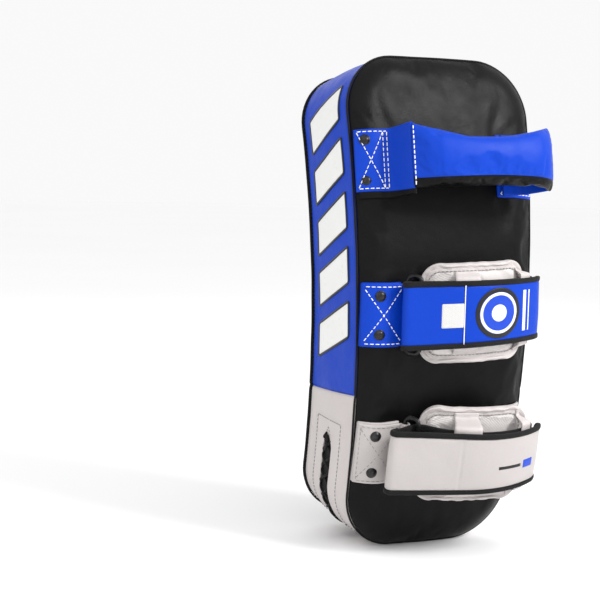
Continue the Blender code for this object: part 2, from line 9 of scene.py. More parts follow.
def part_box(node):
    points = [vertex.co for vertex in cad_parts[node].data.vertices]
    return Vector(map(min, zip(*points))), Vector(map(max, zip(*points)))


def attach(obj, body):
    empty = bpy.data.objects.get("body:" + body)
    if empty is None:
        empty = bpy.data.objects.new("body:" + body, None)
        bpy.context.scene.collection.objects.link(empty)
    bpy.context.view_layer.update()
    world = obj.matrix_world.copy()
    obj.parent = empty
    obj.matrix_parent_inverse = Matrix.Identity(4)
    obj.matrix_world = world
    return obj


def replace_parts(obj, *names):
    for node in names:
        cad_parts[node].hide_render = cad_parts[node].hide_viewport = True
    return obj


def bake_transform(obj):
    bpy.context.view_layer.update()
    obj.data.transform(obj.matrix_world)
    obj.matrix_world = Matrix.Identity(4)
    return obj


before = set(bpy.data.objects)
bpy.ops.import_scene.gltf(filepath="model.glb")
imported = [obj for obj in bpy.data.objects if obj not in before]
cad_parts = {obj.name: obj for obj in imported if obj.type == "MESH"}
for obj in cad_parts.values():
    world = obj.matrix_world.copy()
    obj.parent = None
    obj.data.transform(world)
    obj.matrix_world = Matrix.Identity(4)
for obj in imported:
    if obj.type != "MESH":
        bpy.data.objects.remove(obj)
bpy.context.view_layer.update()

# The pad is laid out flat as (x, s, t): across, along and through it, and bend() curves it.
# Each strap has a flat working frame of its own: x across, h off the pad, v up along it.
MM = 0.001

# the pad, with the sizes of its CAD solids
BEND_RADIUS = 654 * MM
HALF_LENGTH = 197 * MM
HALF_DEPTH = 44 * MM
FLARE = 0.07
WIDTH_TOP = 176 * MM
WIDTH_BOTTOM = 153 * MM
CORNER = 46 * MM
END_BULGE = 2 * MM
CROWN = {"strike": 8 * MM, "back": 9 * MM}
SHOULDER = 22 * MM
ORIGIN_Y = 12.70 * MM
ORIGIN_Z = 210.89 * MM
SPLIT_S = -70 * MM
SLOT_S = -109 * MM
SLOT_HALF = 8.0 * MM
FACING_HALF = 22 * MM
FACING_PAST = 11 * MM
WALL_HALF = 42.6 * MM
SEAM_SLANT = 7 * MM

# the straps
HANDLE_S = 113 * MM
MIDDLE_S = -5 * MM
LOWER_S = -114 * MM
STRAP_HALF = 29 * MM
PATCH_HALF = 27 * MM
PATCH_RISE = 2.5 * MM
SEAM_GAP = 0.4 * MM
STRAP = 3.0 * MM
WIRE = 1.75 * MM
TURN = 9 * MM

# each forearm strap, in millimetres in its own (x, h) frame
STRAPS = {
    "middle": {
        "s": MIDDLE_S, "look": "blue_leather", "skew": 0.055,
        "center": (22.2, -58.4), "radius": 91.7, "start": -34.7, "bend": 25.5, "layers": 5.4,
        "fold": (-50.2, 15.8), "fold_radius": 2.9, "flap_slope": -20,
        "ring": (-45.0, 6.0), "ring_angle": 60, "patch_in": -47,
        "under": ((-50.2, 12.9), (-46, 12.7), (-41, 12.6), (-37, 13.3), (-33.5, 15.0)),
        "down": ((60, 7.2), (55, 5.4), (50, 4.9), (46, 4.8)), "turn_end": 168,
        "cushion_center": (22.2, -58.4), "cushion_radius": 83.7, "cushion": (-41.0, 23.2),
        "keepers": ((-12, 8), (47, 58)), "fasten": (14, 42),
    },
    "lower": {
        # the lower strap wears the white leather's darker copy: painted shade, as it faces away from the
        # light
        "s": LOWER_S, "look": "shaded_white_leather", "skew": 0.075,
        "center": (29.0, -16.3), "radius": 65.3, "start": -54.3, "bend": 27, "layers": 6.6,
        "fold": (-57.0, 22.0), "fold_radius": 3.4, "flap_slope": -22,
        "ring": (-40.0, 6.0), "ring_angle": 64, "patch_in": -42,
        "under": ((-57, 18.6), (-51, 17.3), (-45, 15.6), (-40.5, 14.0), (-36, 13.2), (-32, 13.9),
                  (-28.5, 16.0), (-26, 18.8)),
        "down": ((62.6, 27), (60.4, 19), (56.5, 11.5), (51.5, 6.6), (46, 4.8)), "turn_end": 96,
        "cushion_center": (48.4, -87.6), "cushion_radius": 121.0, "cushion": (-39.1, 4.8),
        "keepers": ((-10, 10), (46, 56)), "fasten": (14, 42),
    },
}


# ---------------------------------------------------------------- materials

class Recipe:
    """A material being put together: its nodes and the sockets of its shader."""

    def __init__(self, name, **levels):
        self.made = bpy.data.materials.new(name)
        self.made.use_nodes = True
        self.nodes = self.made.node_tree.nodes
        self.links = self.made.node_tree.links
        self.shader = self.nodes["Principled BSDF"]
        for socket, level in levels.items():
            self.shader.inputs[socket.replace("_", " ")].default_value = level

    def space(self):
        """The object's own space, in metres."""
        return self.nodes.new("ShaderNodeTexCoord").outputs["Object"]

    def pattern(self, kind, scale, detail, stretch=None):
        """A texture node over the object's space, stretched along its axes where asked."""
        place = self.space()
        if stretch:
            mapping = self.nodes.new("ShaderNodeMapping")
            mapping.inputs["Scale"].default_value = stretch
            self.links.new(place, mapping.inputs["Vector"])
            place = mapping.outputs["Vector"]
        made = self.nodes.new(kind)
        made.inputs["Scale"].default_value = scale
        if "Detail" in made.inputs:
            made.inputs["Detail"].default_value = detail
        self.links.new(place, made.inputs["Vector"])
        return made

    def clouds(self, scale, detail=3.0):
        """Smooth noise, 0 to 1."""
        return self.pattern("ShaderNodeTexNoise", scale, detail).outputs["Fac"]

    def cells(self, scale, stretch=None):
        """Distances to the middles of irregular cells: the pebbles of leather, the threads of a weave."""
        return self.pattern("ShaderNodeTexVoronoi", scale, 3.0, stretch).outputs["Distance"]

    def bands(self, scale, **settings):
        """Slanted stripes, 0 to 1."""
        wave = self.nodes.new("ShaderNodeTexWave")
        wave.bands_direction = "DIAGONAL"
        wave.inputs["Scale"].default_value = scale
        for socket, level in settings.items():
            wave.inputs[socket].default_value = level
        self.links.new(self.space(), wave.inputs["Vector"])
        return wave.outputs["Fac"]

    def ranged(self, source, low, high, start=0.3, end=0.7):
        """source, from start to end, as a value from low to high."""
        made = self.nodes.new("ShaderNodeMapRange")
        for socket, level in (("From Min", start), ("From Max", end), ("To Min", low), ("To Max", high)):
            made.inputs[socket].default_value = level
        self.links.new(source, made.inputs["Value"])
        return made.outputs["Result"]

    def mixed(self, factor, first, second):
        """A blend of two colours, each of them fixed or another node's."""
        made = self.nodes.new("ShaderNodeMix")
        made.data_type = "RGBA"
        self.links.new(factor, made.inputs["Factor"])
        for socket, value in ((made.inputs["A"], first), (made.inputs["B"], second)):
            if isinstance(value, tuple):
                socket.default_value = (*value, 1.0)
            else:
                self.links.new(value, socket)
        return made.outputs["Result"]

    def set(self, socket, source):
        """Joins a node's output to a socket of the shader."""
        self.links.new(source, self.shader.inputs[socket])

    def bumped(self, heights, strength):
        """heights is a list of (texture output, depth in metres), one bump on the next."""
        below = None
        for height, depth in heights:
            bump = self.nodes.new("ShaderNodeBump")
            bump.inputs["Strength"].default_value = strength
            bump.inputs["Distance"].default_value = depth
            self.links.new(height, bump.inputs["Height"])
            if below:
                self.links.new(below, bump.inputs["Normal"])
            below = bump.outputs["Normal"]
        self.set("Normal", below)


PEBBLES = 1050.0
# how much the painted shade in the leather grain's valleys darkens its colour
VALLEY_SHADE = 0.72


def leather(name, color, worn, rough, specular, grain=0.00011, mottle=0.5):
    """Grained artificial leather: pebbles, fine pores, soft mottling and polished wear, with shade painted
    darker into the pebbles' valleys.
    """
    look = Recipe(name, Specular_IOR_Level=specular)
    cloudy, smudge = look.clouds(11.0, 4.0), look.clouds(55.0, 6.0)
    pebble = look.pattern("ShaderNodeTexVoronoi", PEBBLES, 3.0)
    pebble.inputs["Randomness"].default_value = 0.9
    pebble = pebble.outputs["Distance"]
    pores, dents = look.clouds(2600.0, 2.0), look.clouds(75.0)
    base = look.mixed(look.ranged(cloudy, 0.0, mottle, 0.35, 0.75), color, worn)
    # painted shade: the colour darkened in the valleys between the pebbles
    valley_shade = look.ranged(pebble, 0.0, 0.35, 0.45, 0.8)
    look.set("Base Color", look.mixed(valley_shade, base, tuple(c * VALLEY_SHADE for c in color)))
    look.set("Roughness", look.ranged(smudge, rough - 0.07, rough + 0.07))
    look.bumped([(dents, 0.0007), (pebble, grain), (pores, grain * 0.5)], 0.6)
    return look.made


def webbing(name, color, light, rib=1500.0, rough=0.82):
    """Woven tape: ribs across it, threads along it, a little fuzz."""
    look = Recipe(name, Specular_IOR_Level=0.22, Sheen_Weight=0.05)
    ribs = look.bands(rib / 6.0, Distortion=0.6, Detail=1.0)
    threads = look.cells(rib * 0.8, (1.0, 1.0, 2.2))
    fuzz, cloudy = look.clouds(rib, 4.0), look.clouds(26.0)
    amount = look.nodes.new("ShaderNodeMath")
    amount.operation = "MULTIPLY"
    look.links.new(look.ranged(fuzz, 0.0, 0.8, 0.45, 0.75), amount.inputs[0])
    look.links.new(look.ranged(cloudy, 0.6, 1.0), amount.inputs[1])
    look.set("Base Color", look.mixed(amount.outputs["Value"], color, light))
    look.set("Roughness", look.ranged(cloudy, rough - 0.06, rough + 0.08))
    look.bumped([(ribs, 0.0002), (threads, 0.0002), (fuzz, 0.0001)], 0.6)
    return look.made


def enamel(name, color, rubbed):
    """Black lacquer on metal, rubbed a little thin, with fine orange peel."""
    look = Recipe(name, Metallic=0.35, Specular_IOR_Level=0.5)
    worn, peel = look.clouds(420.0, 6.0), look.clouds(900.0, 2.0)
    look.set("Base Color", look.mixed(look.ranged(worn, 0.0, 0.7, 0.52, 0.75), color, rubbed))
    look.set("Roughness", look.ranged(worn, 0.25, 0.42))
    look.bumped([(peel, 0.00008)], 0.5)
    return look.made


def yarn(name, color, shade):
    """Twisted sewing thread."""
    look = Recipe(name)
    twist, soil = look.bands(700.0, Distortion=1.5), look.clouds(70.0)
    look.set("Base Color", look.mixed(look.ranged(soil, 0.0, 0.6, 0.45, 0.75), color, shade))
    look.set("Roughness", look.ranged(twist, 0.55, 0.75, 0.0, 1.0))
    look.bumped([(twist, 0.0001)], 0.7)
    return look.made


def print_film(name, color, worn):
    """A screen print: smooth, a little glossy, the grain showing through, worn in specks."""
    look = Recipe(name, Specular_IOR_Level=0.4)
    specks, cloudy, grain = look.clouds(330.0, 8.0), look.clouds(20.0), look.cells(PEBBLES)
    look.set("Base Color", look.mixed(look.ranged(specks, 0.0, 0.5, 0.62, 0.78), color, worn))
    look.set("Roughness", look.ranged(cloudy, 0.34, 0.46))
    look.bumped([(grain, 0.00006)], 0.5)
    return look.made


def studio_white(name):
    """The floor's paint, uneven over metres."""
    look = Recipe(name, Roughness=0.9, Specular_IOR_Level=0.05)
    look.set("Base Color", look.mixed(look.clouds(1.3), (0.90, 0.90, 0.90), (0.93, 0.93, 0.93)))
    return look.made


BLUE, BLUE_WORN = (0.001, 0.044, 0.46), (0.002, 0.058, 0.545)
FINE_GRAIN = 0.00009
LOOKS = {
    "black_leather": leather("black_grained_leather", (0.0018, 0.0018, 0.0021), (0.0048, 0.0048, 0.0054),
                             0.42, 0.13),
    "blue_leather": leather("blue_grained_leather", BLUE, BLUE_WORN, 0.46, 0.15, 0.00008),
    "white_leather": leather("white_grained_leather", (0.60, 0.555, 0.545), (0.54, 0.49, 0.48),
                             0.46, 0.3, FINE_GRAIN),
    # a darker copy of the white leather for the lower strap: painted shade, as that strap faces away from the
    # light
    "shaded_white_leather": leather("white_strap_leather", (0.505, 0.47, 0.46), (0.455, 0.42, 0.41),
                           0.46, 0.3, FINE_GRAIN),
    "white_mesh": webbing("white_lining_cloth", (0.70, 0.655, 0.64), (0.78, 0.75, 0.74), 1900.0, 0.75),
    "black_webbing": webbing("black_woven_tape", (0.005, 0.005, 0.0055), (0.017, 0.017, 0.018)),
    "black_metal": enamel("black_lacquered_metal", (0.010, 0.010, 0.011), (0.05, 0.05, 0.055)),
    "label": webbing("white_satin_label", (0.62, 0.61, 0.60), (0.54, 0.53, 0.52), 2400.0, 0.6),
    "white_thread": yarn("white_sewing_thread", (0.86, 0.86, 0.85), (0.66, 0.65, 0.63)),
    "grey_thread": yarn("grey_sewing_thread", (0.20, 0.19, 0.19), (0.32, 0.30, 0.29)),
    "black_thread": yarn("black_sewing_thread", (0.008, 0.008, 0.008), (0.03, 0.03, 0.03)),
    "white_print": print_film("white_screen_print", (0.76, 0.76, 0.75), (0.52, 0.52, 0.52)),
    "black_print": print_film("black_screen_print", (0.006, 0.006, 0.007), (0.02, 0.02, 0.025)),
    "blue_print": print_film("blue_screen_print", BLUE, BLUE_WORN),
}
# the material slot of each look that is not a slot's own
SLOT_OF = {
    "shaded_white_leather": "white_leather", "white_mesh": "white_leather", "white_thread": "white_leather",
    "white_print": "white_leather", "black_print": "black_leather", "blue_print": "blue_leather",
    "grey_thread": "black_webbing", "black_thread": "black_webbing",
}


# ---------------------------------------------------------------- numbers and curves

def mm(*points):
    """Points given in millimetres, in metres."""
    return [(x * MM, h * MM) for x, h in points]


def even(low, high, steps):
    """Evenly spaced numbers from low to high, both of them included."""
    return [low + (high - low) * k / steps for k in range(steps + 1)]


def circle(radius, count):
    """Points round the origin, the first of them again not included."""
    return [(radius * math.cos(k * math.tau / count), radius * math.sin(k * math.tau / count))
            for k in range(count)]


def ease(value):
    """0 to 1 without a kink at either end."""
    value = min(1.0, max(0.0, value))
    return value * value * (3 - 2 * value)


def hump(distance, width):
    """1 at no distance, falling to nothing on both sides in a bell."""
    return math.exp(-(distance / width) ** 2)


def ridge(distance, width):
    """1 at no distance, falling steeply to nothing on both sides."""
    return math.exp(-abs(distance) / width)


def boxed(value, power):
    """A cosine or sine made to draw a boxy oval instead of a round one."""
    return math.copysign(abs(value) ** power, value)


def wobble(point, size, amount):
    """Smooth noise in space, waves of about size."""
    return noise.noise(Vector(point) / size) * amount


# ---------------------------------------------------------------- mesh tools

def add_piece(name, points, faces, look, closed=True):
    """An object from points and faces, smooth, its faces turned outwards where it is closed."""
    mesh = bpy.data.meshes.new(name)
    mesh.from_pydata([tuple(p) for p in points], [], faces)
    work = bmesh.new()
    work.from_mesh(mesh)
    if closed:
        bmesh.ops.recalc_face_normals(work, faces=work.faces[:])
        if work.calc_volume(signed=True) < 0:
            bmesh.ops.reverse_faces(work, faces=work.faces[:])
    for face in work.faces:
        face.smooth = True
    work.to_mesh(mesh)
    work.free()
    mesh.materials.append(LOOKS[look])
    obj = bpy.data.objects.new(name, mesh)
    bpy.context.scene.collection.objects.link(obj)
    SLOT_OF.get(look, look)
    return obj


def grid_faces(columns, rows, wrap=False, first=0):
    """Quads between rows of points that lie one after another; wrap joins a row's ends."""
    faces = []
    for j in range(rows - 1):
        for i in range(columns if wrap else columns - 1):
            a, b = i, (i + 1) % columns
            faces.append([first + j * columns + a, first + j * columns + b,
                          first + (j + 1) * columns + b, first + (j + 1) * columns + a])
    return faces


def sweep(name, look, rings, closed=False):
    """A solid through rings of points, with a fan of faces at each end unless it joins up with itself."""
    size = len(rings[0])
    points = [p for ring in rings for p in ring]
    faces = grid_faces(size, len(rings), wrap=True)
    if closed:
        last = (len(rings) - 1) * size
        faces += [[last + i, last + (i + 1) % size, (i + 1) % size, i] for i in range(size)]
    else:
        for start, ring in ((0, rings[0]), ((len(rings) - 1) * size, rings[-1])):
            points.append(sum(ring, Vector()) / size)
            faces += [[start + i, start + (i + 1) % size, len(points) - 1] for i in range(size)]
    return add_piece(name, points, faces, look)


def frames_along(points, closed=False):
    """A steady pair of side directions at each point of a line in space."""
    count = len(points)
    frames = []
    side = None
    for i, here in enumerate(points):
        before = points[(i - 1) % count] if closed or i else here
        after = points[(i + 1) % count] if closed or i < count - 1 else here
        way = (after - before).normalized()
        if side is None:
            side = way.orthogonal()
        side = (side - way * side.dot(way)).normalized()
        frames.append((side, way.cross(side)))
    return frames


def tube(name, look, points, radius, sides=8, closed=False):
    """A cord or wire along points."""
    rings = [[here + a * x + b * y for x, y in circle(radius, sides)]
             for here, (a, b) in zip(points, frames_along(points, closed))]
    return sweep(name, look, rings, closed)


class Path:
    """A line of (x, y) points with a length along it and a sideways offset."""

    def __init__(self, points):
        self.points = [Vector(p) for p in points]
        self.lengths = [0.0]
        for a, b in zip(self.points, self.points[1:]):
            self.lengths.append(self.lengths[-1] + (b - a).length)
        self.total = self.lengths[-1]

    def index(self, length):
        """The number of the stretch that a length is on."""
        low, high = 0, len(self.points) - 2
        while low < high:
            mid = (low + high + 1) // 2
            low, high = (mid, high) if self.lengths[mid] <= length else (low, mid - 1)
        return low

    def at(self, length):
        """The point at a length, its ends holding what lies past them."""
        length = min(max(length, 0.0), self.total)
        n = self.index(length)
        return self.points[n].lerp(self.points[n + 1], (length - self.lengths[n])
                                   / (self.lengths[n + 1] - self.lengths[n]))

    def normal(self, length, reach=0.8 * MM):
        """The left of the way the path runs."""
        way = (self.at(length + reach) - self.at(length - reach)).normalized()
        return Vector((-way.y, way.x))

    def off(self, length, distance):
        """The point at a length, moved to the left of the way."""
        return self.at(length) + self.normal(length) * distance

    def part(self, first, last, step=1.5 * MM):
        """The same line from one length to another, in even steps."""
        return Path([self.at(length) for length in even(first, last, max(2, round((last - first) / step)))])

    def smoothed(self, passes, step=1.2 * MM):
        """Evenly spaced, its bends eased, its ends where they were."""
        points = self.part(0.0, self.total, step).points
        for _ in range(passes):
            points = ([points[0]] + [a * 0.25 + b * 0.5 + c * 0.25 for a, b, c in
                                     zip(points, points[1:], points[2:])] + [points[-1]])
        return Path(points)

    def length_at_x(self, x):
        """The first length at which the path reaches x."""
        for n, (a, b) in enumerate(zip(self.points, self.points[1:])):
            if a.x < x <= b.x:
                return self.lengths[n] + (x - a.x) / (b.x - a.x) * (b - a).length
        return self.total


def arc(center, radius, start, end, steps):
    """Points round center, angles in degrees from straight up, clockwise."""
    angles = [math.radians(angle) for angle in even(start, end, steps)]
    return [(center[0] + radius * math.sin(a), center[1] + radius * math.cos(a)) for a in angles]


# ---------------------------------------------------------------- the pad's shape

def bend(x, s, t):
    """The place in space of a point of the flat pad, whose strike side runs a little past its bend."""
    longer = 1 + FLARE * max(0.0, 1 - t / HALF_DEPTH) / 2
    angle = s / BEND_RADIUS * longer
    reach = BEND_RADIUS + t
    y = BEND_RADIUS - reach * math.cos(angle) + ORIGIN_Y
    return Vector((x, y, reach * math.sin(angle) + ORIGIN_Z))


def half_width(s):
    """Half the pad's width at s, without its corners: it tapers towards the bottom."""
    part = (s + HALF_LENGTH) / (2 * HALF_LENGTH)
    return (WIDTH_BOTTOM + (WIDTH_TOP - WIDTH_BOTTOM) * part) / 2


def row_s(row, x, inset=0.0):
    """The s of a row, -1 to 1, at x: straight across the middle, bowed at the ends."""
    past = max(0.0, (abs(row) - 0.2) / 0.8)
    across = x / half_width(row * HALF_LENGTH)
    bow = END_BULGE * past ** 2 * (1 - across ** 2)
    return math.copysign(abs(row) * (HALF_LENGTH - inset) + bow, row)


def row_half(row, inset=0.0):
    """Half the outline's width on a row, corners included."""
    s = row * (HALF_LENGTH - inset)
    radius = CORNER - inset
    past = max(0.0, abs(s) - (HALF_LENGTH - inset - radius))
    return half_width(s) - inset - radius + math.sqrt(max(0.0, radius ** 2 - past ** 2))


def edge_distance(x, s):
    """How far inside the outline a point is."""
    across = half_width(s) - CORNER - abs(x)
    end = HALF_LENGTH + END_BULGE * (1 - (x / half_width(s)) ** 2)
    along = end - CORNER - abs(s)
    if across >= 0 or along >= 0:
        return CORNER + min(across, along)
    return CORNER - math.hypot(across, along)


def crown(side, x, s):
    """How far a face stands out over its seam's level."""
    near = min(1.0, max(0.0, edge_distance(x, s)) / SHOULDER)
    return CROWN[side] * (1 - (1 - near) ** 2.3)


def stretch_rows(low, high):
    """Rows from one s to another, the first left out."""
    return [s / HALF_LENGTH for s in even(low, high, max(1, round((high - low) / ROW_STEP)))[1:]]


# rows across the pad, each a part of HALF_LENGTH: closer together round the corners
ROW_STEP = 3.5 * MM
END_ROWS = [1 - (CORNER / HALF_LENGTH) * (1 - math.cos(math.radians(angle))) for angle in even(0, 90, 14)]
ROWS = [-row for row in END_ROWS]
ROWS += stretch_rows(ROWS[-1] * HALF_LENGTH, SLOT_S)
ROWS += stretch_rows(SLOT_S, SPLIT_S)
ROWS += stretch_rows(SPLIT_S, HALF_LENGTH - CORNER)[:-1] + END_ROWS[::-1]
COLUMNS = [0.6 * u + 0.4 * math.sin(math.pi / 2 * u) for u in (k / 38 for k in range(-38, 39))]


def outline(inset, count=12):
    """The seam's outline from the bottom centre round to the bottom centre again."""
    right = [(row_half(row, inset), row) for row in ROWS]
    bottom = [(right[0][0] * k / count, ROWS[0]) for k in range(count)]
    top = [(right[-1][0] * k / count, ROWS[-1]) for k in range(count - 1, -count, -1)]
    left = [(-x, row) for x, row in reversed(right)]
    back = [(-right[0][0] * k / count, ROWS[0]) for k in range(count - 1, 0, -1)]
    return [(x, row_s(row, x, inset)) for x, row in bottom + right + top + left + back]


CLOTH_FRAMES = 20


def simulate(obj, pressure, cap, sewn, growth=0.0, stiffness=15.0):
    """Swells a leather piece like a cushion, held where it is sewn, each point moved by cap at most."""
    rest = [v.co.copy() for v in obj.data.vertices]
    group = obj.vertex_groups.new(name="sewn")
    group.add(sewn, 1.0, "REPLACE")
    cloth = obj.modifiers.new("cloth", "CLOTH")
    settings = cloth.settings
    settings.quality = 6
    settings.mass = 0.3
    settings.tension_stiffness = stiffness
    settings.compression_stiffness = stiffness
    settings.bending_stiffness = 0.6
    settings.use_pressure = True
    settings.uniform_pressure_force = pressure
    settings.effector_weights.gravity = 0.0
    settings.vertex_group_mass = "sewn"
    settings.shrink_min = -growth
    cloth.point_cache.frame_start = 1
    cloth.point_cache.frame_end = CLOTH_FRAMES
    scene = bpy.context.scene
    for number in range(1, CLOTH_FRAMES + 1):
        scene.frame_set(number)
    swollen = obj.evaluated_get(bpy.context.evaluated_depsgraph_get()).to_mesh()
    moved = [v.co.copy() for v in swollen.vertices]
    obj.modifiers.remove(cloth)
    obj.vertex_groups.remove(group)
    for vert, here, there in zip(obj.data.vertices, rest, moved):
        way = there - here
        vert.co = here + way * min(1.0, cap / max(way.length, 1e-9))
    scene.frame_set(1)
    obj.data.update()


def subdivide(obj):
    """Rounds a cushion's mesh off once more."""
    made = obj.modifiers.new("soft", "SUBSURF")
    made.levels = made.render_levels = 1


def thicken(obj, thickness):
    """Gives an open skin its leather's thickness, inwards."""
    made = obj.modifiers.new("leather", "SOLIDIFY")
    made.thickness = thickness
    made.offset = -1.0


# ---------------------------------------------------------------- sewn shapes and threads

def rounded(half_p, half_q, radius, inset, sides=10, turns=7):
    """A rounded outline in the flat, inset by so much; every inset gives as many points."""
    p, q = half_p - inset, half_q - inset
    r = min(max(radius - inset, 1.0 * MM), p, q)
    corners = ((p - r, q - r, 0), (r - p, q - r, 90), (r - p, r - q, 180), (p - r, r - q, 270))
    points = []
    for k, (cp, cq, first) in enumerate(corners):
        for n in range(turns + 1):
            a = math.radians(first + 90 * n / turns)
            points.append((cp + r * math.cos(a), cq + r * math.sin(a)))
        after = corners[(k + 1) % 4]
        a = math.radians(first + 90)
        end = (after[0] + r * math.cos(a), after[1] + r * math.sin(a))
        points += list(zip(*(even(here, there, sides)[1:-1] for here, there in zip(points[-1], end))))
    return points


def quilt(name, look, size, radius, insets, top, bottom, lay, sides=10, turns=7):
    """A closed sewn piece of rings, from its rim to its middle, on both faces.

    top and bottom give the faces' heights at (inset, p, q), and lay(p, q, height) puts a point
    in space. Returns the piece and (inset, p, q, face) of each point."""
    rim = rounded(*size, radius, 0.0, sides, turns)
    count = len(rim)
    spots = [(0.0, p, q, 0) for p, q in rim]
    faces = []
    for face in (1, -1):
        before = 0
        for inset in insets:
            start = len(spots)
            spots += [(inset, p, q, face) for p, q in rounded(*size, radius, inset, sides, turns)]
            faces += [[before + i, before + (i + 1) % count, start + (i + 1) % count, start + i]
                      for i in range(count)]
            before = start
        spots.append((insets[-1], 0.0, 0.0, face))
        faces += [[before + i, before + (i + 1) % count, len(spots) - 1] for i in range(count)]
    points = []
    for inset, p, q, face in spots:
        high, low = top(inset, p, q), bottom(inset, p, q)
        points.append(lay(p, q, high if face > 0 else low if face < 0 else (high + low) / 2))
    return add_piece(name, points, faces, look), spots


def applied(name, look, size, radius, lay, lift=0.2 * MM, thick=0.35 * MM):
    """A thin printed or sewn-on shape with a soft edge."""
    limit = min(size) * 0.94
    insets = [d * MM for d in (0.25, 0.8, 2, 4, 7, 11, 16, 24) if d * MM < limit] + [limit]

    def top(inset, p, q):
        return lift + thick * min(1.0, 0.3 + inset / (0.6 * MM))
    return quilt(name, look, size, radius, insets, top, lambda inset, p, q: -lift, lay)[0]


def disc(name, look, radius, lay, lift):
    """A thin printed round."""
    thick = 0.2 * MM
    levels = [(0.02, -lift), (1.0, -lift), (1.0, lift + 0.3 * thick)]
    levels += [(part, lift + thick) for part in (0.97, 0.85, 0.7, 0.55, 0.4, 0.25, 0.1, 0.02)]
    return sweep(name, look, [[lay(p, q, h) for p, q in circle(part * radius, 64)] for part, h in levels])


# a band's cross-section: how far to the side, and how high
BAND = ((-0.5, 0.3), (-0.42, 1), (0, 1.1), (0.42, 1), (0.5, 0.3), (0.5, 0), (-0.5, 0))


def strip(name, look, line, width, lay, thick=0.35 * MM, lift=0.15 * MM, closed=False):
    """A flat band along a line in the flat."""
    rings = []
    for (p, q), side in zip(line, sides_along(line, closed)):
        across = side * width
        rings.append([lay(p + across.x * u, q + across.y * u, h * thick + (lift if h > 0 else -lift))
                      for u, h in BAND])
    return sweep(name, look, rings, closed)


def sides_along(line, closed=False):
    """The left of the way at each point of a line in the flat."""
    count = len(line)
    sides = []
    for i, here in enumerate(line):
        before = line[(i - 1) % count] if closed or i else here
        after = line[(i + 1) % count] if closed or i < count - 1 else here
        way = Vector((after[0] - before[0], after[1] - before[1])).normalized()
        sides.append(Vector((-way.y, way.x)))
    return sides


THREAD = 0.42 * MM


class Threads:
    """Stitches gathered into one piece."""

    # a stitch's sections: part of its length, height and thickness, as parts of its radius
    SECTIONS = ((0.0, -0.6, 0.6), (0.12, 0.5, 1.0), (0.5, 0.75, 1.05), (0.88, 0.5, 1.0), (1.0, -0.6, 0.6))

    def __init__(self):
        self.points = []
        self.faces = []

    def stitch(self, start, end, lay, radius):
        """One stitch between two places in the flat, sunk into the leather at its ends."""
        sides = 6
        first = len(self.points)
        spine = [lay(*start.lerp(end, part), rise * radius) for part, rise, _ in self.SECTIONS]
        for (a, b), here, (_, _, wide) in zip(frames_along(spine), spine, self.SECTIONS):
            self.points += [here + a * x + b * y for x, y in circle(radius * wide, sides)]
        self.faces += grid_faces(sides, len(spine), wrap=True, first=first)
        last = first + (len(spine) - 1) * sides
        self.faces.append([first + k for k in reversed(range(sides))])
        self.faces.append([last + k for k in range(sides)])

    def crossed(self, low, high, half, lay, slack=0.0, radius=THREAD):
        """Two lines of stitches, p from low to high, half to each side, with an X between them."""
        for sign in (-1, 1):
            self.run([(low, sign * half), (high, sign * half)], lay, radius=radius)
            ends = sign * (half - slack)
            self.run([(low, -ends), (high, ends)], lay, radius=radius)

    def run(self, line, lay, length=2.9 * MM, gap=1.3 * MM, radius=THREAD):
        """A line of stitches through points in the flat."""
        path = Path(line)
        count = max(1, round(path.total / (length + gap)))
        pitch = path.total / count
        for n in range(count):
            a, b = path.at(n * pitch + gap / 2), path.at((n + 1) * pitch - gap / 2)
            self.stitch(a, b, lay, radius)

    def piece(self, name, look, body):
        """Makes the piece and lets it ride a body."""
        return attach(add_piece(name, self.points, self.faces, look), body)


def surface_of(obj):
    """A search tree of a piece's shape as it stands now."""
    return BVHTree.FromObject(obj, bpy.context.evaluated_depsgraph_get())


def on_surface(tree, lay, reach=6 * MM):
    """lay() again, with its heights measured from the real surface under it."""
    def placed(p, q, h):
        above, below = lay(p, q, reach), lay(p, q, -reach)
        way = (below - above).normalized()
        hit = tree.ray_cast(above, way, 2 * reach)[0]
        return (hit if hit else lay(p, q, 0.0)) - way * h
    return placed


# ---------------------------------------------------------------- the pad

LEVEL_TO = -58 * MM


class Place:
    """A flat working frame on the back: x across, h off the pad, v up along it.

    What lies past x = LEVEL_TO is sheared along the pad by skew, as straps sewn on a little askew are.
    """

    def __init__(self, s, skew=0.0):
        angle = s / BEND_RADIUS
        self.s = s
        self.skew = skew
        self.base = bend(0, s, HALF_DEPTH + CROWN["back"])
        self.out = Vector((0, -math.cos(angle), math.sin(angle)))
        self.up = Vector((0, math.sin(angle), math.cos(angle)))

    def drift(self, x):
        """How far the shear moves what lies at x."""
        return self.skew * max(0.0, x - LEVEL_TO)

    def at(self, x, h, v):
        """The place in space of a point of the frame."""
        return self.base + Vector((x, 0, 0)) + self.out * h + self.up * (v + self.drift(x))

    def over(self, spot, v):
        """The place over a point of a line in the frame, v up from it."""
        return self.at(spot.x, spot.y, v)

    def on_back(self, x, v, h):
        """On the back panel: v along it from the frame's middle, h above the leather."""
        s = self.s + (v + self.drift(x)) * BEND_RADIUS / (BEND_RADIUS + HALF_DEPTH + CROWN["back"])
        return bend(x, s, HALF_DEPTH + crown("back", x, s) + h)

    def surface_h(self, x):
        """Height of the back panel under (x, v=0)."""
        return crown("back", x, self.s) - CROWN["back"]


# how far from the pad's middle each left anchor begins, and all the right ones
LEFT_ANCHORS = ((HANDLE_S, 61 * MM), (MIDDLE_S, 48 * MM), (LOWER_S, 43 * MM))
RIGHT_ANCHORS = 45 * MM


def sewn_down(x, s):
    """True under the patches, where the back panel is stitched through."""
    for middle, inner in LEFT_ANCHORS:
        if abs(s - middle) < PATCH_HALF and abs(x) > (min(inner, RIGHT_ANCHORS) if x > 0 else inner):
            return True
    return False


SKIN = 1.8 * MM
WALL_SKIN = 1.6 * MM


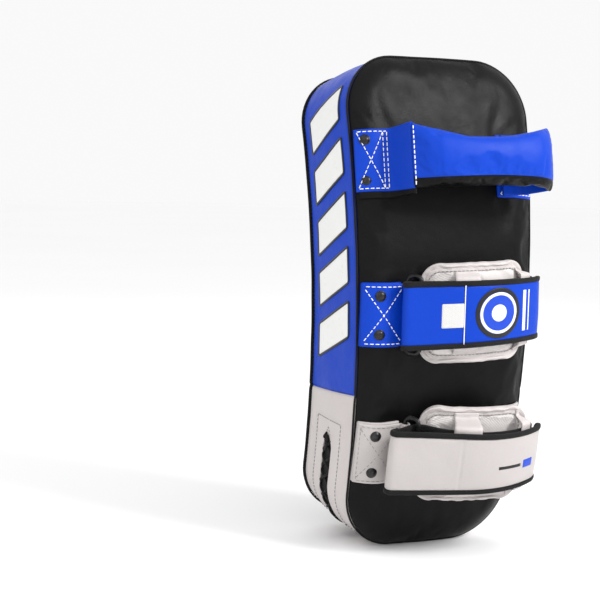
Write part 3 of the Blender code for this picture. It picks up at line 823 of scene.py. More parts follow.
def build_skin(side):
    """A face of the pad: leather swollen over its foam, wrinkled along its seam."""
    sign = 1 if side == "back" else -1
    points, sewn = [], []
    for j, row in enumerate(ROWS):
        for i, column in enumerate(COLUMNS):
            x = column * row_half(row)
            s = row_s(row, x)
            inside = ease(edge_distance(x, s) / (12 * MM))
            flat = bend(x, s, sign * HALF_DEPTH)
            rise = crown(side, x, s) + inside * wobble(flat, 60 * MM, 0.5 * MM)
            rise += (1 - inside) * wobble(flat, 7 * MM, 0.45 * MM) * min(1, edge_distance(x, s) / (2 * MM))
            points.append(bend(x, s, sign * (HALF_DEPTH + rise)))
            if i in (0, len(COLUMNS) - 1) or j in (0, len(ROWS) - 1) or sign > 0 and sewn_down(x, s):
                sewn.append(len(points) - 1)
    faces = grid_faces(len(COLUMNS), len(ROWS))
    if sign < 0:
        faces = [face[::-1] for face in faces]
    skin = add_piece(f"{side}_face", points, faces, "black_leather", closed=False)
    simulate(skin, 0.6, 1.2 * MM if side == "back" else 1.8 * MM, sewn, growth=0.004, stiffness=30.0)
    thicken(skin, SKIN)
    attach(skin, "pad")
    return skin


def slot_half(s):
    """Half the laced opening's height: pointed at its upper ends."""
    return max(0.35 * MM, SLOT_HALF * math.sqrt(min(1.0, max(0.0, (SLOT_S - s) / (11 * MM)))))


def wall_rise(s, t):
    """How far the side wall stands out of the seam's outline."""
    rise = 1.3 * MM * (1 - (t / WALL_HALF) ** 2)
    rise -= 1.1 * MM * ridge(WALL_HALF - abs(t), 1.0 * MM)
    seam = SPLIT_S - SEAM_SLANT * (1 - t / WALL_HALF) / 2
    rise -= 0.9 * MM * ridge(s - seam, 1.2 * MM)
    facing = ease((FACING_HALF + 2 * MM - abs(t)) / (0.8 * MM))
    facing *= ease((SLOT_S + FACING_PAST + 2 * MM - s) / (0.8 * MM))
    return rise + 0.6 * MM * facing


WALL = Path(outline(0.0) + outline(0.0)[:1])


def on_wall(p, q, h):
    """p round the edge from the bottom centre, to the right; q through the pad; h out of it."""
    spot = WALL.at(p % WALL.total)
    out = -WALL.normal(p % WALL.total)
    spot = spot + out * (h + wall_rise(spot.y, q) + wobble((p, q, 0), 30 * MM, 0.35 * MM))
    return bend(spot.x, spot.y, q)


def wall_length(s):
    """The length round the edge, on the right, at a height s."""
    for n, (a, b) in enumerate(zip(WALL.points, WALL.points[1:])):
        if a.y < s <= b.y and a.x > 0:
            return WALL.lengths[n] + (s - a.y) / (b.y - a.y) * (b - a).length
    return 0.0


SPLIT_P = wall_length(SPLIT_S)
SLOT_P = wall_length(SLOT_S)


def slanted(p, q):
    """Moves wall points near the colour seam, which runs lower on the strike side."""
    side = p if p < WALL.total / 2 else p - WALL.total
    near = hump(abs(side) - SPLIT_P, 45 * MM)
    return p - math.copysign(SEAM_SLANT * near * (1 - q / WALL_HALF) / 2, side)


def finish_wall(name, rows, faces, look, node):
    """A side wall from its rows of points."""
    wall = add_piece(name, [p for row in rows for p in row], faces, look, closed=False)
    face_wall_out(wall)
    thicken(wall, WALL_SKIN)
    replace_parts(wall, node)
    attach(wall, "pad")


def build_upper_wall():
    """The wall down both long sides and over the top, as one strip."""
    across = [WALL_HALF * (0.65 * u + 0.35 * math.sin(math.pi / 2 * u)) for u in even(-1, 1, 22)]
    around = even(SPLIT_P, WALL.total - SPLIT_P, round((WALL.total - 2 * SPLIT_P) / (3 * MM)))
    rows = [[on_wall(slanted(p, q), q, 0.0) for q in across] for p in around]
    finish_wall("side_wall_upper", rows, grid_faces(len(across), len(rows)), "blue_leather", "upper_gusset")


# the lower wall's columns: parts of the way from the slot's lip, then places in millimetres
LIP_PARTS = (0.0, 0.12, 0.35, 0.7)
LIP_END = 12.2
WALL_PLACES = (LIP_END, 17, 21.8, 22.8, 23.4, 24.2, 30, 36, 40, 41.6, 42.6)


def build_lower_wall():
    """The wall round the bottom, slit along its middle for the lace, its lips turned up a little."""
    around = even(-SPLIT_P, SPLIT_P, round(2 * SPLIT_P / (2.2 * MM)))
    rows = []
    for p in around:
        lip = slot_half(WALL.at(p % WALL.total).y)
        half = [lip + (LIP_END * MM - lip) * part for part in LIP_PARTS] + [q * MM for q in WALL_PLACES]
        rows.append([on_wall(slanted(p, q), q, 0.25 * MM * ridge(abs(q) - lip, 0.7 * MM))
                     for q in [-q for q in reversed(half)] + half])
    width = len(rows[0])
    faces = []
    for face in grid_faces(width, len(rows)):
        column, row = face[0] % width, face[0] // width
        in_slot = abs(around[row] + around[row + 1]) / 2 < SLOT_P
        if not (column == width // 2 - 1 and in_slot):
            faces.append(face)
    finish_wall("side_wall_lower", rows, faces, "white_leather", "lower_gusset")


def face_wall_out(obj):
    """Turns an open wall's faces away from the pad's middle."""
    centre = bend(0, 0, 0)
    total = sum((f.center - centre).dot(Vector((f.normal.x, 0, f.normal.z))) for f in obj.data.polygons)
    if total < 0:
        obj.data.flip_normals()


def build_edges():
    """The welts and the stitches of the two seams."""
    for name, node, sign in (("strike_edge_welt", "strike_welt", -1), ("back_edge_welt", "back_welt", 1)):
        line = [on_wall(p, sign * WALL_HALF, 2.0 * MM) for p in even(0, WALL.total, 420)[:-1]]
        out = bend(0, 0, sign * 0.55 * MM) - bend(0, 0, 0)
        welt = tube(name, "black_webbing", [p + out for p in line], 0.9 * MM, closed=True)
        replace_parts(welt, node)
        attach(welt, "pad")
    seams = Threads()
    for sign in (-1, 1):
        loop = [(p, sign * (WALL_HALF - 1.6 * MM)) for p in even(0, WALL.total, 600)]
        seams.run(loop, on_wall, 1.9 * MM, 1.5 * MM, 0.26 * MM)
    seams.piece("edge_seam_stitches", "black_thread", "pad")


def build_facing():
    """The lines sewn round the laced opening, with a bar tack at each end of it."""
    facing = Threads()
    reach = SLOT_P + FACING_PAST
    lines = [[(p, q) for p in even(-reach, reach, 80)] for q in (-FACING_HALF, FACING_HALF)]
    lines += [[(p, q) for q in even(-FACING_HALF, FACING_HALF, 12)] for p in (-reach, reach)]
    for line in lines:
        facing.run(line, on_wall, 2.4 * MM, 1.1 * MM, 0.3 * MM)
    for sign in (-1, 1):
        for q in (-1, 1):
            tack = [(sign * SLOT_P, q * 2.5 * MM), (sign * (SLOT_P + 5 * MM), 0)]
            facing.run(tack, on_wall, 2.2 * MM, 0.8 * MM, 0.3 * MM)
    facing.piece("closure_facing_stitches", "grey_thread", "pad")


# the tongue's cross-section in millimetres: across the wall, and out of it
TONGUE = ((-14, -2.4), (-7, -1.9), (0, -1.7), (7, -1.9), (14, -2.4), (14, -3.6), (0, -3.2), (-14, -3.6))


def build_tongue():
    """The tape behind the slot."""
    reach = SLOT_P + 6 * MM
    rings = [[on_wall(p, q, h) for q, h in mm(*TONGUE)] for p in even(-reach, reach, 90)]
    tongue = sweep("closure_tongue", "black_webbing", rings)
    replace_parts(tongue, "lace_tongue")
    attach(tongue, "pad")


LACE = 1.1 * MM
CROSSING = 15 * MM


def build_lacing():
    """Two runs of lace crossing over each other in the slot, knotted at both ends."""
    crossings = 2 * round(SLOT_P / CROSSING)
    span = SLOT_P - 5 * MM
    for name, sign, lifted in (("under", -1, 0.0), ("over", 1, 0.9 * MM)):
        line = []
        for part in even(0, 1, crossings * 14):
            phase = math.pi * crossings * part
            swing = sign * math.cos(phase)
            over = -0.2 * MM + lifted * math.sin(phase) ** 2 - 1.2 * MM * swing ** 8
            p = -span + 2 * span * part
            wide = slot_half(WALL.at(p % WALL.total).y) - 0.2 * MM
            line.append(on_wall(p, swing * wide, over))
        lace = tube(f"lace_{name}", "black_webbing", line, LACE)
        if name == "under":
            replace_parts(lace, "closure_lace")
        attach(lace, "pad")
    for name, sign in (("left", -1), ("right", 1)):
        knot = []
        for a in even(0, math.tau, 48)[:-1]:
            knot.append(on_wall(sign * (span + 1 * MM) + 2.1 * MM * math.sin(2 * a) + 1.2 * MM * math.sin(a),
                                2.6 * MM * math.sin(a) * (1 + 0.2 * math.cos(3 * a)),
                                1.3 * MM + 0.8 * MM * math.cos(3 * a)))
        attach(tube(f"lace_knot_{name}", "black_webbing", knot, LACE, closed=True), "pad")
        tail = [on_wall(sign * (span - 1 * MM - 10 * MM * k / 12), 2.4 * MM * math.sin(k / 3.2),
                        1.6 * MM - 0.5 * MM * k / 12) for k in range(13)]
        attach(tube(f"lace_end_{name}", "black_webbing", tail, LACE), "pad")


# the printed bars along each side wall, and the mark on the strike face
BARS = 5
BAR_FIRST_S = -22 * MM
BAR_LAST_S = 151 * MM
BAR_HALF = 13.5 * MM
BAR_REACH = 27 * MM
BAR_SLANT = 0.42
BAR_EDGE = 0.7 * MM
MARK_S = 82 * MM


def build_bars():
    """Plain slanted bars along each side wall, with a dark edge."""
    for side, sign in (("left", -1), ("right", 1)):
        for k, s in enumerate(even(BAR_FIRST_S, BAR_LAST_S, BARS - 1)):
            middle = wall_length(s)

            def lay(p, q, h, middle=middle, sign=sign):
                return on_wall(sign * (middle + p + BAR_SLANT * q), q, h)
            size = (BAR_HALF, BAR_REACH)
            bar = applied(f"wall_bar_{side}_{k + 1}", "white_print", size, 1.6 * MM, lay, 0.3 * MM, 0.2 * MM)
            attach(bar, "pad")
            rim = rounded(BAR_HALF + BAR_EDGE, BAR_REACH + BAR_EDGE, 2.2 * MM, 0.0)
            edge = strip(f"wall_bar_edge_{side}_{k + 1}", "black_print", rim, 2.2 * MM, lay, 0.52 * MM,
                         closed=True)
            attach(edge, "pad")


def build_mark(strike_skin):
    """Two rings round a dot, printed on the strike face."""
    def face(p, q, h):
        return bend(p, MARK_S + q, -(HALF_DEPTH + CROWN["strike"] + h))
    lay = on_surface(surface_of(strike_skin), face)
    for name, radius, width in (("outer", 39 * MM, 10 * MM), ("inner", 22 * MM, 7 * MM)):
        ring = strip(f"strike_mark_{name}", "white_print", circle(radius, 96), width, lay, 0.22 * MM,
                     closed=True)
        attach(ring, "pad")
    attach(disc("strike_mark_centre", "white_print", 9 * MM, lay, 0.1 * MM), "pad")


def build_pad():
    """Everything sewn to the pad but the handle and the straps."""
    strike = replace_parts(build_skin("strike"), "strike_panel", "strike_foam", "core_foam")
    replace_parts(build_skin("back"), "back_panel", "rear_foam")
    build_upper_wall()
    build_lower_wall()
    build_edges()
    build_facing()
    build_tongue()
    build_lacing()
    build_bars()
    build_mark(strike)


# ---------------------------------------------------------------- strap parts

def ribbon(name, look, place, path, half, thick, offset=0.0, puff=0.0, relief=None, middle=0.0, spread=None):
    """A soft-edged strap along a path. relief(length, v) moves its outer face, spread(length) widens it."""
    edge = min(thick / 2, 1.5 * MM)
    across = even(half - edge, -(half - edge), 16)
    turn = [math.radians(a) for a in even(18, 162, 8)]
    profile = [(v, thick / 2, 1) for v in across]
    profile += [(-half + edge - edge * math.sin(a), thick / 2 * math.cos(a), 0) for a in turn]
    profile += [(-v, -thick / 2, 0) for v in across]
    profile += [(half - edge + edge * math.sin(a), -thick / 2 * math.cos(a), 0) for a in turn]
    rings = []
    for length, spot in zip(path.lengths, path.points):
        normal = path.normal(length)
        wide = spread(length) if spread else 1.0
        ring = []
        for v, h, outer in profile:
            if outer:
                h += puff * (1 - (v / half) ** 2) + (relief(length, v) if relief else 0.0)
            ring.append(place.over(spot + normal * (offset + h), middle + v * wide))
        rings.append(ring)
    return sweep(name, look, rings)


def on_ribbon(place, path, lift):
    """lay() for what is sewn onto a ribbon: p along the path, q across it."""
    def lay(p, q, h):
        return place.over(path.off(p, lift + h), q)
    return lay


def patch(name, look, place, x_edge, x_in, half, node):
    """A padded patch sewn flat on the back panel."""
    middle, reach = (x_edge + x_in) / 2, abs(x_edge - x_in) / 2

    def top(inset, p, q):
        rise = PATCH_RISE * math.sqrt(1 - (1 - min(1.0, inset / (1.3 * MM))) ** 2)
        return rise + 0.25 * MM * ease(inset / (8 * MM)) - 0.4 * MM * hump(inset - 2.7 * MM, 0.8 * MM)

    def lay(p, q, h):
        return place.on_back(middle + p, q, h)
    limit = 0.92 * min(reach, half)
    insets = [d * MM for d in (0.15, 0.5, 1.2, 2.0, 2.7, 3.4, 5, 7, 9, 12) if d * MM < limit]
    made, _ = quilt(name, look, (reach, half), 1.5 * MM, insets, top, lambda inset, p, q: 0.1 * MM, lay)
    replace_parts(made, node)
    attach(made, "pad")


def on_patch(place):
    """lay() for what is sewn through a patch: p across the pad, q along it."""
    def lay(p, q, h):
        return place.on_back(p, q, h + (PATCH_RISE - 0.2 * MM))
    return lay


# a rivet cap's outline in millimetres: radius and height, from its rim to its top
RIVET_PROFILE = ((4.6, -0.35), (4.75, 0.0), (4.6, 0.45), (4.3, 0.65), (3.95, 0.8), (3.6, 1.3), (3.0, 1.8),
                 (2.2, 2.2), (1.2, 2.45), (0.35, 2.5))


def rivet(name, place, x):
    """A domed cap with a rolled rim, on its node's place."""
    low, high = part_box(name)
    step = 0.5 * MM
    slope = (place.surface_h(x + step) - place.surface_h(x - step)) / (2 * step)
    out = (place.out - Vector((1, 0, 0)) * slope).normalized()
    across = place.up.cross(out).normalized()
    side = out.cross(across)
    foot = (low + high) / 2 - out * 1.5 * MM
    rings = [[foot + out * rise + across * x + side * y for x, y in circle(radius, 32)]
             for radius, rise in mm(*RIVET_PROFILE)]
    cap = sweep(f"{name}_cap", "black_metal", rings)
    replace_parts(cap, name)
    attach(cap, "pad")


def build_rivets(name, place, left, right):
    """Four caps, two at each end of a strap or of the grip."""
    for side, x in (("left", left), ("right", right)):
        for level in ("upper", "lower"):
            rivet(f"{name}_rivet_{side}_{level}", place, x)


# ---------------------------------------------------------------- the handle

HANDLE_HALF = 26 * MM
HANDLE_SKEW = -0.02
GRIP_SAG = 4.5 * MM
GRIP_SIDES = 80
# how boxy the grip's section is, and the angles round it, from its upper edge, where the cover's seams lie
GRIP_BOX = 0.85
GRIP_SEAMS = (-44.0, 134.0)
# the lines of the grip, of the web at its right end and of the riser at its left, in millimetres
SPINE = ((-51.1, 29.6), (-48, 31.4), (-41, 34.8), (-31, 38.6), (-17, 42.4), (0, 45.4), (18, 47.6),
         (36, 48.6), (52, 48.2), (63, 45.8), (70, 42), (73.8, 38.6))
WEB_RIGHT = ((74.2, 38.2), (73.4, 36.0), (72.2, 29), (69, 20), (64.5, 11.5), (59.5, 6.6), (54, 5.2),
             (49, 5.2))
RISER = ((-62, 2.2), (-59.5, 3.4), (-56.8, 7.5), (-54.6, 14), (-53.1, 21), (-51.8, 27.4), (-50.9, 30.4))


def grip_size(part):
    """Half height and half depth of the grip at a part of its length."""
    waist = math.sin(math.pi * part)
    body = min(1.0, waist * 1.9)
    return (27.0 - 7.5 * waist) * MM, (3.6 + 7.4 * body ** 0.8) * MM


def grip_sag(part):
    """How far the grip hangs below the line through its ends, most of it left of the middle."""
    return GRIP_SAG * math.sin(math.pi * part ** 0.75)


def build_grip(place):
    """The padded grip: a leather cover outside, a lining on the palm side, seamed along both edges."""
    spine = Path(mm(*SPINE)).smoothed(12, 1.4 * MM)
    low, high = GRIP_SEAMS
    outside = round(GRIP_SIDES * (high - low) / 360)
    angles = even(low, high, outside)[:-1] + even(high, 360 + low, GRIP_SIDES - outside)[:-1]
    rings = []
    for length in spine.lengths:
        part = length / spine.total
        tall, deep = grip_size(part)
        ring = []
        for angle in angles:
            a = math.radians(angle)
            seam = min(abs(angle - low), abs(angle - high), abs(angle - low - 360))
            shrink = 1 - 0.05 * hump(seam, 4.5)
            spot = spine.off(length, boxed(math.sin(a), GRIP_BOX) * deep * shrink)
            ring.append(place.over(spot, boxed(math.cos(a), GRIP_BOX) * tall * shrink - grip_sag(part)))
        rings.append(ring)
    count = GRIP_SIDES * len(rings)
    ends = (0, 1, len(rings) - 2, len(rings) - 1)
    sewn = [n for n in range(count) if n // GRIP_SIDES in ends or n % GRIP_SIDES in (0, outside)]
    sewn += [count, count + 1]
    grip = sweep("handle_grip", "blue_leather", rings)
    grip.data.materials.append(LOOKS["black_leather"])
    for face in grip.data.polygons:
        columns = [v % GRIP_SIDES for v in face.vertices if v < count]
        face.material_index = int(not (max(columns) <= outside and min(columns) < outside))
    simulate(grip, 2.5, 1.4 * MM, sewn, growth=0.02)
    subdivide(grip)
    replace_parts(grip, "handle_cover", "handle_lining", "handle_core")
    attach(grip, "pad")
    return spine


def build_riser(place, edge):
    """The anchor sewn down on the left, rising to the grip, over a black lining."""
    left = [(x, place.surface_h(x) + 2.2 * MM) for x in even(-edge, -edge + 18 * MM, 6)]
    left = Path(left + mm(*RISER)).smoothed(10)
    crease = left.length_at_x(-58 * MM)
    rising = left.length_at_x(-64 * MM)

    def creased(length, v):
        rise = 0.45 * MM * hump(length - crease, 5 * MM) * math.cos(v / (5 * MM))
        return rise + wobble((length, v, 0.1), 14 * MM, 0.25 * MM)

    def widened(length):
        return 1 + 0.05 * ease((length - rising) / (32 * MM))
    riser = ribbon("handle_riser", "blue_leather", place, left, HANDLE_HALF, 2.6 * MM, 0.0, 0.3 * MM, creased,
                   spread=widened)
    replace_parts(riser, "handle_anchor_left")
    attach(riser, "pad")
    lining = ribbon("handle_riser_lining", "black_leather", place, left.part(2 * MM, left.total - 1 * MM),
                    28.6 * MM, 3.4 * MM, -1.4 * MM, middle=-3.0 * MM)
    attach(lining, "pad")
    return left


def build_web(place, edge):
    """The web and the patch that hold the grip's right end."""
    right = Path(mm(*WEB_RIGHT)).smoothed(10)
    web = ribbon("handle_end_web", "blue_leather", place, right, HANDLE_HALF, 2.6 * MM)
    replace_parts(web, "handle_web_right")
    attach(web, "pad")
    patch("handle_patch_right", "blue_leather", place, edge, 46 * MM, PATCH_HALF, "handle_anchor_right")
    return right


def on_grip(place, spine, start):
    """lay() for what is sewn across the grip at a length, and half the grip's height there."""
    part = start / spine.total
    tall, deep = grip_size(part)
    sag = grip_sag(part)

    def lay(p, q, h):
        ratio = min(1.0, abs(q) / tall)
        bulge = (1 - ratio ** (2 / GRIP_BOX)) ** (GRIP_BOX / 2) * deep
        return place.over(spine.off(start + p, bulge + h), q - sag)
    return lay, tall


def build_handle():
    """The grip with what it is sewn down by."""
    place = Place(HANDLE_S, HANDLE_SKEW)
    edge = half_width(HANDLE_S) - SEAM_GAP
    left = build_riser(place, edge)
    right = build_web(place, edge)
    spine = build_grip(place)

    white = Threads()
    margin = 2.4 * MM
    lay = on_ribbon(place, left, 1.55 * MM)
    inner, q = left.length_at_x(-61 * MM) - margin, HANDLE_HALF - margin
    white.crossed(margin, inner, q, lay)
    pitch = 4.2 * MM
    for p in (inner, inner + pitch):
        white.run([(p, -q), (p, q)], lay)
    for sign in (-1, 1):
        white.run([(inner, sign * q), (inner + pitch, sign * q)], lay)
    across_grip, tall = on_grip(place, spine, spine.length_at_x(-49.6 * MM))
    reach = tall * 0.93
    white.run([(0, v) for v in even(-reach, reach, 30)], across_grip, 2.8 * MM, 1.3 * MM, 0.5 * MM)
    web_lay = on_ribbon(place, right, 1.3 * MM)
    reach = HANDLE_HALF - 3 * MM
    for p in (2.6 * MM, 5.4 * MM):
        white.run([(p, -reach), (p, reach)], web_lay)
    white.crossed(48.4 * MM, edge - margin, PATCH_HALF - 2.6 * MM, on_patch(place))
    white.piece("handle_stitches", "white_thread", "pad")
    build_rivets("handle", place, -77 * MM, 73 * MM)


# ---------------------------------------------------------------- forearm straps

class Strap:
    """The lines a forearm strap is built on.

    base runs from the fold round the ring, over the arm to the right patch; flap from a stub under the
    fold, round it and over the arm again."""

    def __init__(self, name, plan):
        self.name = name
        self.plan = plan
        self.place = Place(plan["s"], plan["skew"])
        self.look = plan["look"]
        self.center = [c * MM for c in plan["center"]]
        self.radius = plan["radius"] * MM
        self.layers = plan["layers"] * MM
        self.fold = [c * MM for c in plan["fold"]]
        self.fold_radius = plan["fold_radius"] * MM
        self.ring = [c * MM for c in plan["ring"]]
        self.edge = half_width(plan["s"]) - SEAM_GAP
        self.turn_center = arc(self.center, self.radius - TURN, plan["bend"], plan["bend"], 1)[0]
        self.flap_body = f"{name}_strap_flap"
        self.base = self.base_path()
        self.flap = self.flap_path()

    def under(self):
        """The inner strap's first stretch, from the fold to where the cushion's curve begins."""
        around = arc(self.fold, self.fold_radius, -90, -180, 8)
        return around[:-1] + mm(*self.plan["under"])

    def base_path(self):
        """From the fold over the arm, round the turn at its end and down to the right patch."""
        plan = self.plan
        line = self.under() + arc(self.center, self.radius, plan["start"], plan["bend"], 24)
        line += arc(self.turn_center, TURN, plan["bend"], plan["turn_end"], 10)[1:] + mm(*plan["down"])
        return Path(line).smoothed(5, 1.0 * MM)

    def flap_path(self):
        """From a stub under the fold, round it, over the arm to the outside of the turn."""
        plan = self.plan
        stub = [tuple(p) for p in Path(self.under()).part(0.0, self.stub, 0.8 * MM).points][::-1]
        line = stub[:-1] + arc(self.fold, self.fold_radius, -90, plan["flap_slope"], 8)
        line += arc(self.center, self.radius + self.layers, plan["flap_slope"], plan["bend"], 22)
        line += arc(self.turn_center, TURN + self.layers, plan["bend"], 88, 8)[1:]
        return Path(line).smoothed(6, 1.0 * MM)

    @property
    def stub(self):
        """The length of strap on the pad's side of the fold's crest."""
        return self.fold_radius * math.pi / 2 + 4 * MM


def build_anchors(strap):
    """The patches on both sides of the pad, and the loop of the left one round the ring."""
    name, place, plan = strap.name, strap.place, strap.plan
    patch_in = plan["patch_in"] * MM
    for side, edge, inner in (("left", -strap.edge, patch_in - 1 * MM), ("right", strap.edge, 44 * MM)):
        patch(f"{name}_patch_{side}", strap.look, place, edge, inner, PATCH_HALF, f"{name}_anchor_{side}")
    top = [(x, place.surface_h(x) + 4.0 * MM) for x in even(-strap.edge, strap.ring[0] - 4.2 * MM, 12)]
    loop = arc(strap.ring, WIRE + 1.4 * MM, -150, 168, 20)
    line = Path(top + loop[1:]).smoothed(3, 0.8 * MM)
    half = PATCH_HALF - 1 * MM

    def soft(length, v):
        dip = hump(half - abs(v) - 2.4 * MM, 0.9 * MM)
        return wobble((length, v, 0.3), 12 * MM, 0.25 * MM) - 0.3 * MM * dip
    tab = ribbon(f"{name}_ring_loop", strap.look, place, line, half, 2.0 * MM, 0.0, 0.35 * MM, soft)
    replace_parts(tab, f"{name}_ring_tab")
    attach(tab, "pad")

    size = THREAD if name == "middle" else 0.24 * MM
    threads = Threads()
    lay = on_ribbon(place, line, 1.15 * MM)
    start, q = 2.6 * MM, half - 2.4 * MM
    threads.crossed(start, line.length_at_x(patch_in - 3 * MM), q, lay, 2 * MM, size)
    if name == "lower":
        threads.run([(start, -q), (start, q)], lay, radius=size)
    end, q = strap.edge - 2.4 * MM, PATCH_HALF - 2.6 * MM
    threads.crossed(46.6 * MM, end, q, on_patch(place), radius=size)
    threads.run([(end, -q), (end, q)], on_patch(place), radius=size)
    threads.piece(f"{name}_anchor_stitches", "white_thread" if name == "middle" else "grey_thread", "pad")
    build_rivets(name, place, -strap.edge + 14 * MM, strap.edge - 14 * MM)


def build_ring(strap):
    """The rectangular wire ring, one long bar of it in the left anchor's loop."""
    lean = math.radians(strap.plan["ring_angle"])
    span, tall = 13.2 * MM, 32 * MM
    line = []
    for p, v in rounded(span / 2, tall, 4.5 * MM, 0.0, 12, 8):
        d = p + span / 2
        line.append(strap.place.at(strap.ring[0] + d * math.cos(lean), strap.ring[1] + d * math.sin(lean), v))
    wire = tube(f"{strap.name}_wire", "black_metal", line, WIRE, 16, closed=True)
    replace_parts(wire, f"{strap.name}_ring")
    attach(wire, f"{strap.name}_wire_ring")


def build_base(strap):
    """The inner strap, which carries the cushion."""
    body = strap.base.part(strap.stub, strap.base.total, 1.2 * MM)

    def soft(length, v):
        return wobble((length, v, 0.7), 15 * MM, 0.3 * MM)
    base = ribbon(f"{strap.name}_inner_strap", "black_webbing", strap.place, body, STRAP_HALF - 0.6 * MM,
                  STRAP, relief=soft, spread=lambda length: narrowing(strap, length))
    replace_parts(base, f"{strap.name}_strap_base")
    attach(base, "pad")


def hinge_blend(strap, obj):
    """Works out two points on the fold's crest, which nothing uses, and bakes the piece's placement into its
    mesh.
    """
    crest = Vector((strap.fold[0] - strap.fold_radius, strap.fold[1]))
    start = strap.place.over(crest, 0)
    end = strap.place.over(crest + Vector((0.35, 0.94)) * 5 * MM, 0)
    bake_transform(obj)


PILE = 0.7 * MM
PILE_HALF = 20 * MM


def build_fastening(strap):
    """Loop pile on the inner strap and hook tape under the flap."""
    lift = STRAP / 2 + 0.6 * MM
    for node, path, offset, body in (("loop_pile", strap.base, lift, "pad"),
                                     ("hook_patch", strap.flap, -lift, strap.flap_body)):
        low, high = (path.length_at_x(x * MM) for x in strap.plan["fasten"])
        tape = ribbon(f"{strap.name}_{node}_tape", "black_webbing", strap.place, path.part(low, high),
                      PILE_HALF, PILE, offset)
        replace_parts(tape, f"{strap.name}_{node}")
        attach(tape, body)


HEM = 4.8 * MM
SEAM_X = -7 * MM
# the parts of a strap's width left at its fold and at its flap's free end
WIDTHS = {"middle": (0.98, 0.91), "lower": (0.95, 0.85)}


def narrowing(strap, length):
    """The part of its width a strap has at a length: it narrows towards the flap's free end."""
    first, last = WIDTHS[strap.name]
    return first + (last - first) * ease((length - strap.stub) / (strap.flap.total - strap.stub))


def build_flap(strap):
    """The flap's leather, with a sewn groove across it and a buckle near the fold."""
    path = strap.flap
    seam = path.length_at_x(SEAM_X)
    body = path.part(0.0, path.total - HEM * 0.6, 1.2 * MM)

    def soft(length, v):
        buckle = 0.5 * MM * hump(length - strap.stub - 12 * MM, 7 * MM) * math.cos(v / (6 * MM))
        groove = 0.55 * MM * hump(length - seam, 0.8 * MM)
        return wobble((length, v, 1.1), 22 * MM, 0.4 * MM) - groove + 0.4 * buckle
    flap = ribbon(f"{strap.name}_flap_leather", strap.look, strap.place, body, STRAP_HALF - HEM + 0.6 * MM,
                  STRAP, 0.0, 0.5 * MM, soft, spread=lambda length: narrowing(strap, length))
    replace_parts(flap, f"{strap.name}_flap")
    hinge_blend(strap, flap)


def build_binding(strap):
    """Black tape folded over both long edges and round the free end."""
    path, place = strap.flap, strap.place
    line = STRAP_HALF - HEM / 2
    turn = 5 * MM
    last = path.total - HEM / 2
    route = [(p, line) for p in even(0, last, 140) if p < last - turn]
    route += [(last - turn + turn * math.sin(a), line - turn + turn * math.cos(a))
              for a in even(0, math.pi / 2, 10)]
    route += [(last, v) for v in even(line - turn, 0, 8)[1:-1]]
    route += [(p, -v) for p, v in reversed(route[:-7])]
    rings = []
    for (p, v), side in zip(route, sides_along(route)):
        ring = []
        for a in even(0, math.tau, 16)[:-1]:
            u = boxed(math.cos(a), 0.65) * HEM / 2
            h = boxed(math.sin(a), 0.65) * (STRAP / 2 + 0.75 * MM)
            h += wobble((p, v, a), 6 * MM, 0.25 * MM)
            ring.append(place.over(path.off(p + side.x * u, h), (v + side.y * u) * narrowing(strap, p)))
        rings.append(ring)
    tape = sweep(f"{strap.name}_flap_edge", "black_webbing", rings)
    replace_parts(tape, f"{strap.name}_flap_binding")
    hinge_blend(strap, tape)


TRIM_LIFT = STRAP / 2 + 0.45 * MM


def shifted(lay, along, across=0.0, up=0.0):
    """lay() with its origin moved."""
    return lambda p, q, h: lay(along + p, across + q, up + h)


def build_middle_trim(strap):
    """The seam line, a blank label, a round badge and two upright bars."""
    path, body = strap.flap, strap.flap_body
    lay = on_ribbon(strap.place, path, TRIM_LIFT)
    inside = STRAP_HALF - HEM
    seam = path.length_at_x(SEAM_X)
    line = [(seam, v) for v in even(-inside, inside, 24)]
    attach(strip("middle_seam_line", "white_print", line, 0.8 * MM, lay, 0.25 * MM), body)
    low, high = path.length_at_x(-25 * MM), path.length_at_x(-7.5 * MM)
    tag = applied("middle_care_label", "label", ((high - low) / 2, 10 * MM), 0.6 * MM,
                  shifted(lay, (low + high) / 2, -0.5 * MM), 0.15 * MM)
    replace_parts(tag, "middle_label")
    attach(tag, body)
    badge = shifted(lay, path.length_at_x(22.3 * MM))
    ground = disc("middle_badge_ground", "black_print", 21 * MM, badge, 0.15 * MM)
    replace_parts(ground, "middle_badge")
    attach(ground, body)
    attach(disc("middle_badge_field", "blue_print", 17.4 * MM, badge, 0.3 * MM), body)
    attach(strip("middle_badge_ring", "white_print", circle(15.9 * MM, 72), 2.4 * MM,
                  shifted(badge, 0.0, up=0.5 * MM), 0.2 * MM, closed=True), body)
    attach(disc("middle_badge_dot", "white_print", 7 * MM, badge, 0.5 * MM), body)
    for number, x, wide in ((1, 48.5, 3.4), (2, 53.5, 1.2)):
        at = path.length_at_x(x * MM)
        line = [(at, v) for v in even(-17 * MM, 17 * MM, 16)]
        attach(strip(f"middle_flap_bar_{number}", "white_print", line, wide * MM, lay, 0.22 * MM), body)


def build_lower_trim(strap):
    """Two bars one after the other, low on the flap."""
    path = strap.flap
    lay = on_ribbon(strap.place, path, TRIM_LIFT)
    for number, ends, wide, look in ((1, (24, 45), 2.6, "black_print"), (2, (48, 58), 7.0, "blue_print")):
        low, high = (path.length_at_x(x * MM) for x in ends)
        line = [(p, -4 * MM) for p in even(low, high, 12)]
        bar = strip(f"lower_flap_bar_{number}", look, line, wide * MM, lay, 0.22 * MM)
        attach(bar, strap.flap_body)


# ---------------------------------------------------------------- forearm cushions

CUSHION_HALF = 42 * MM
CUSHION_CORNER = 17 * MM
ROLL = 4.2 * MM
FIELD = 7.8 * MM
CUSHION_SEAM = -8 * MM
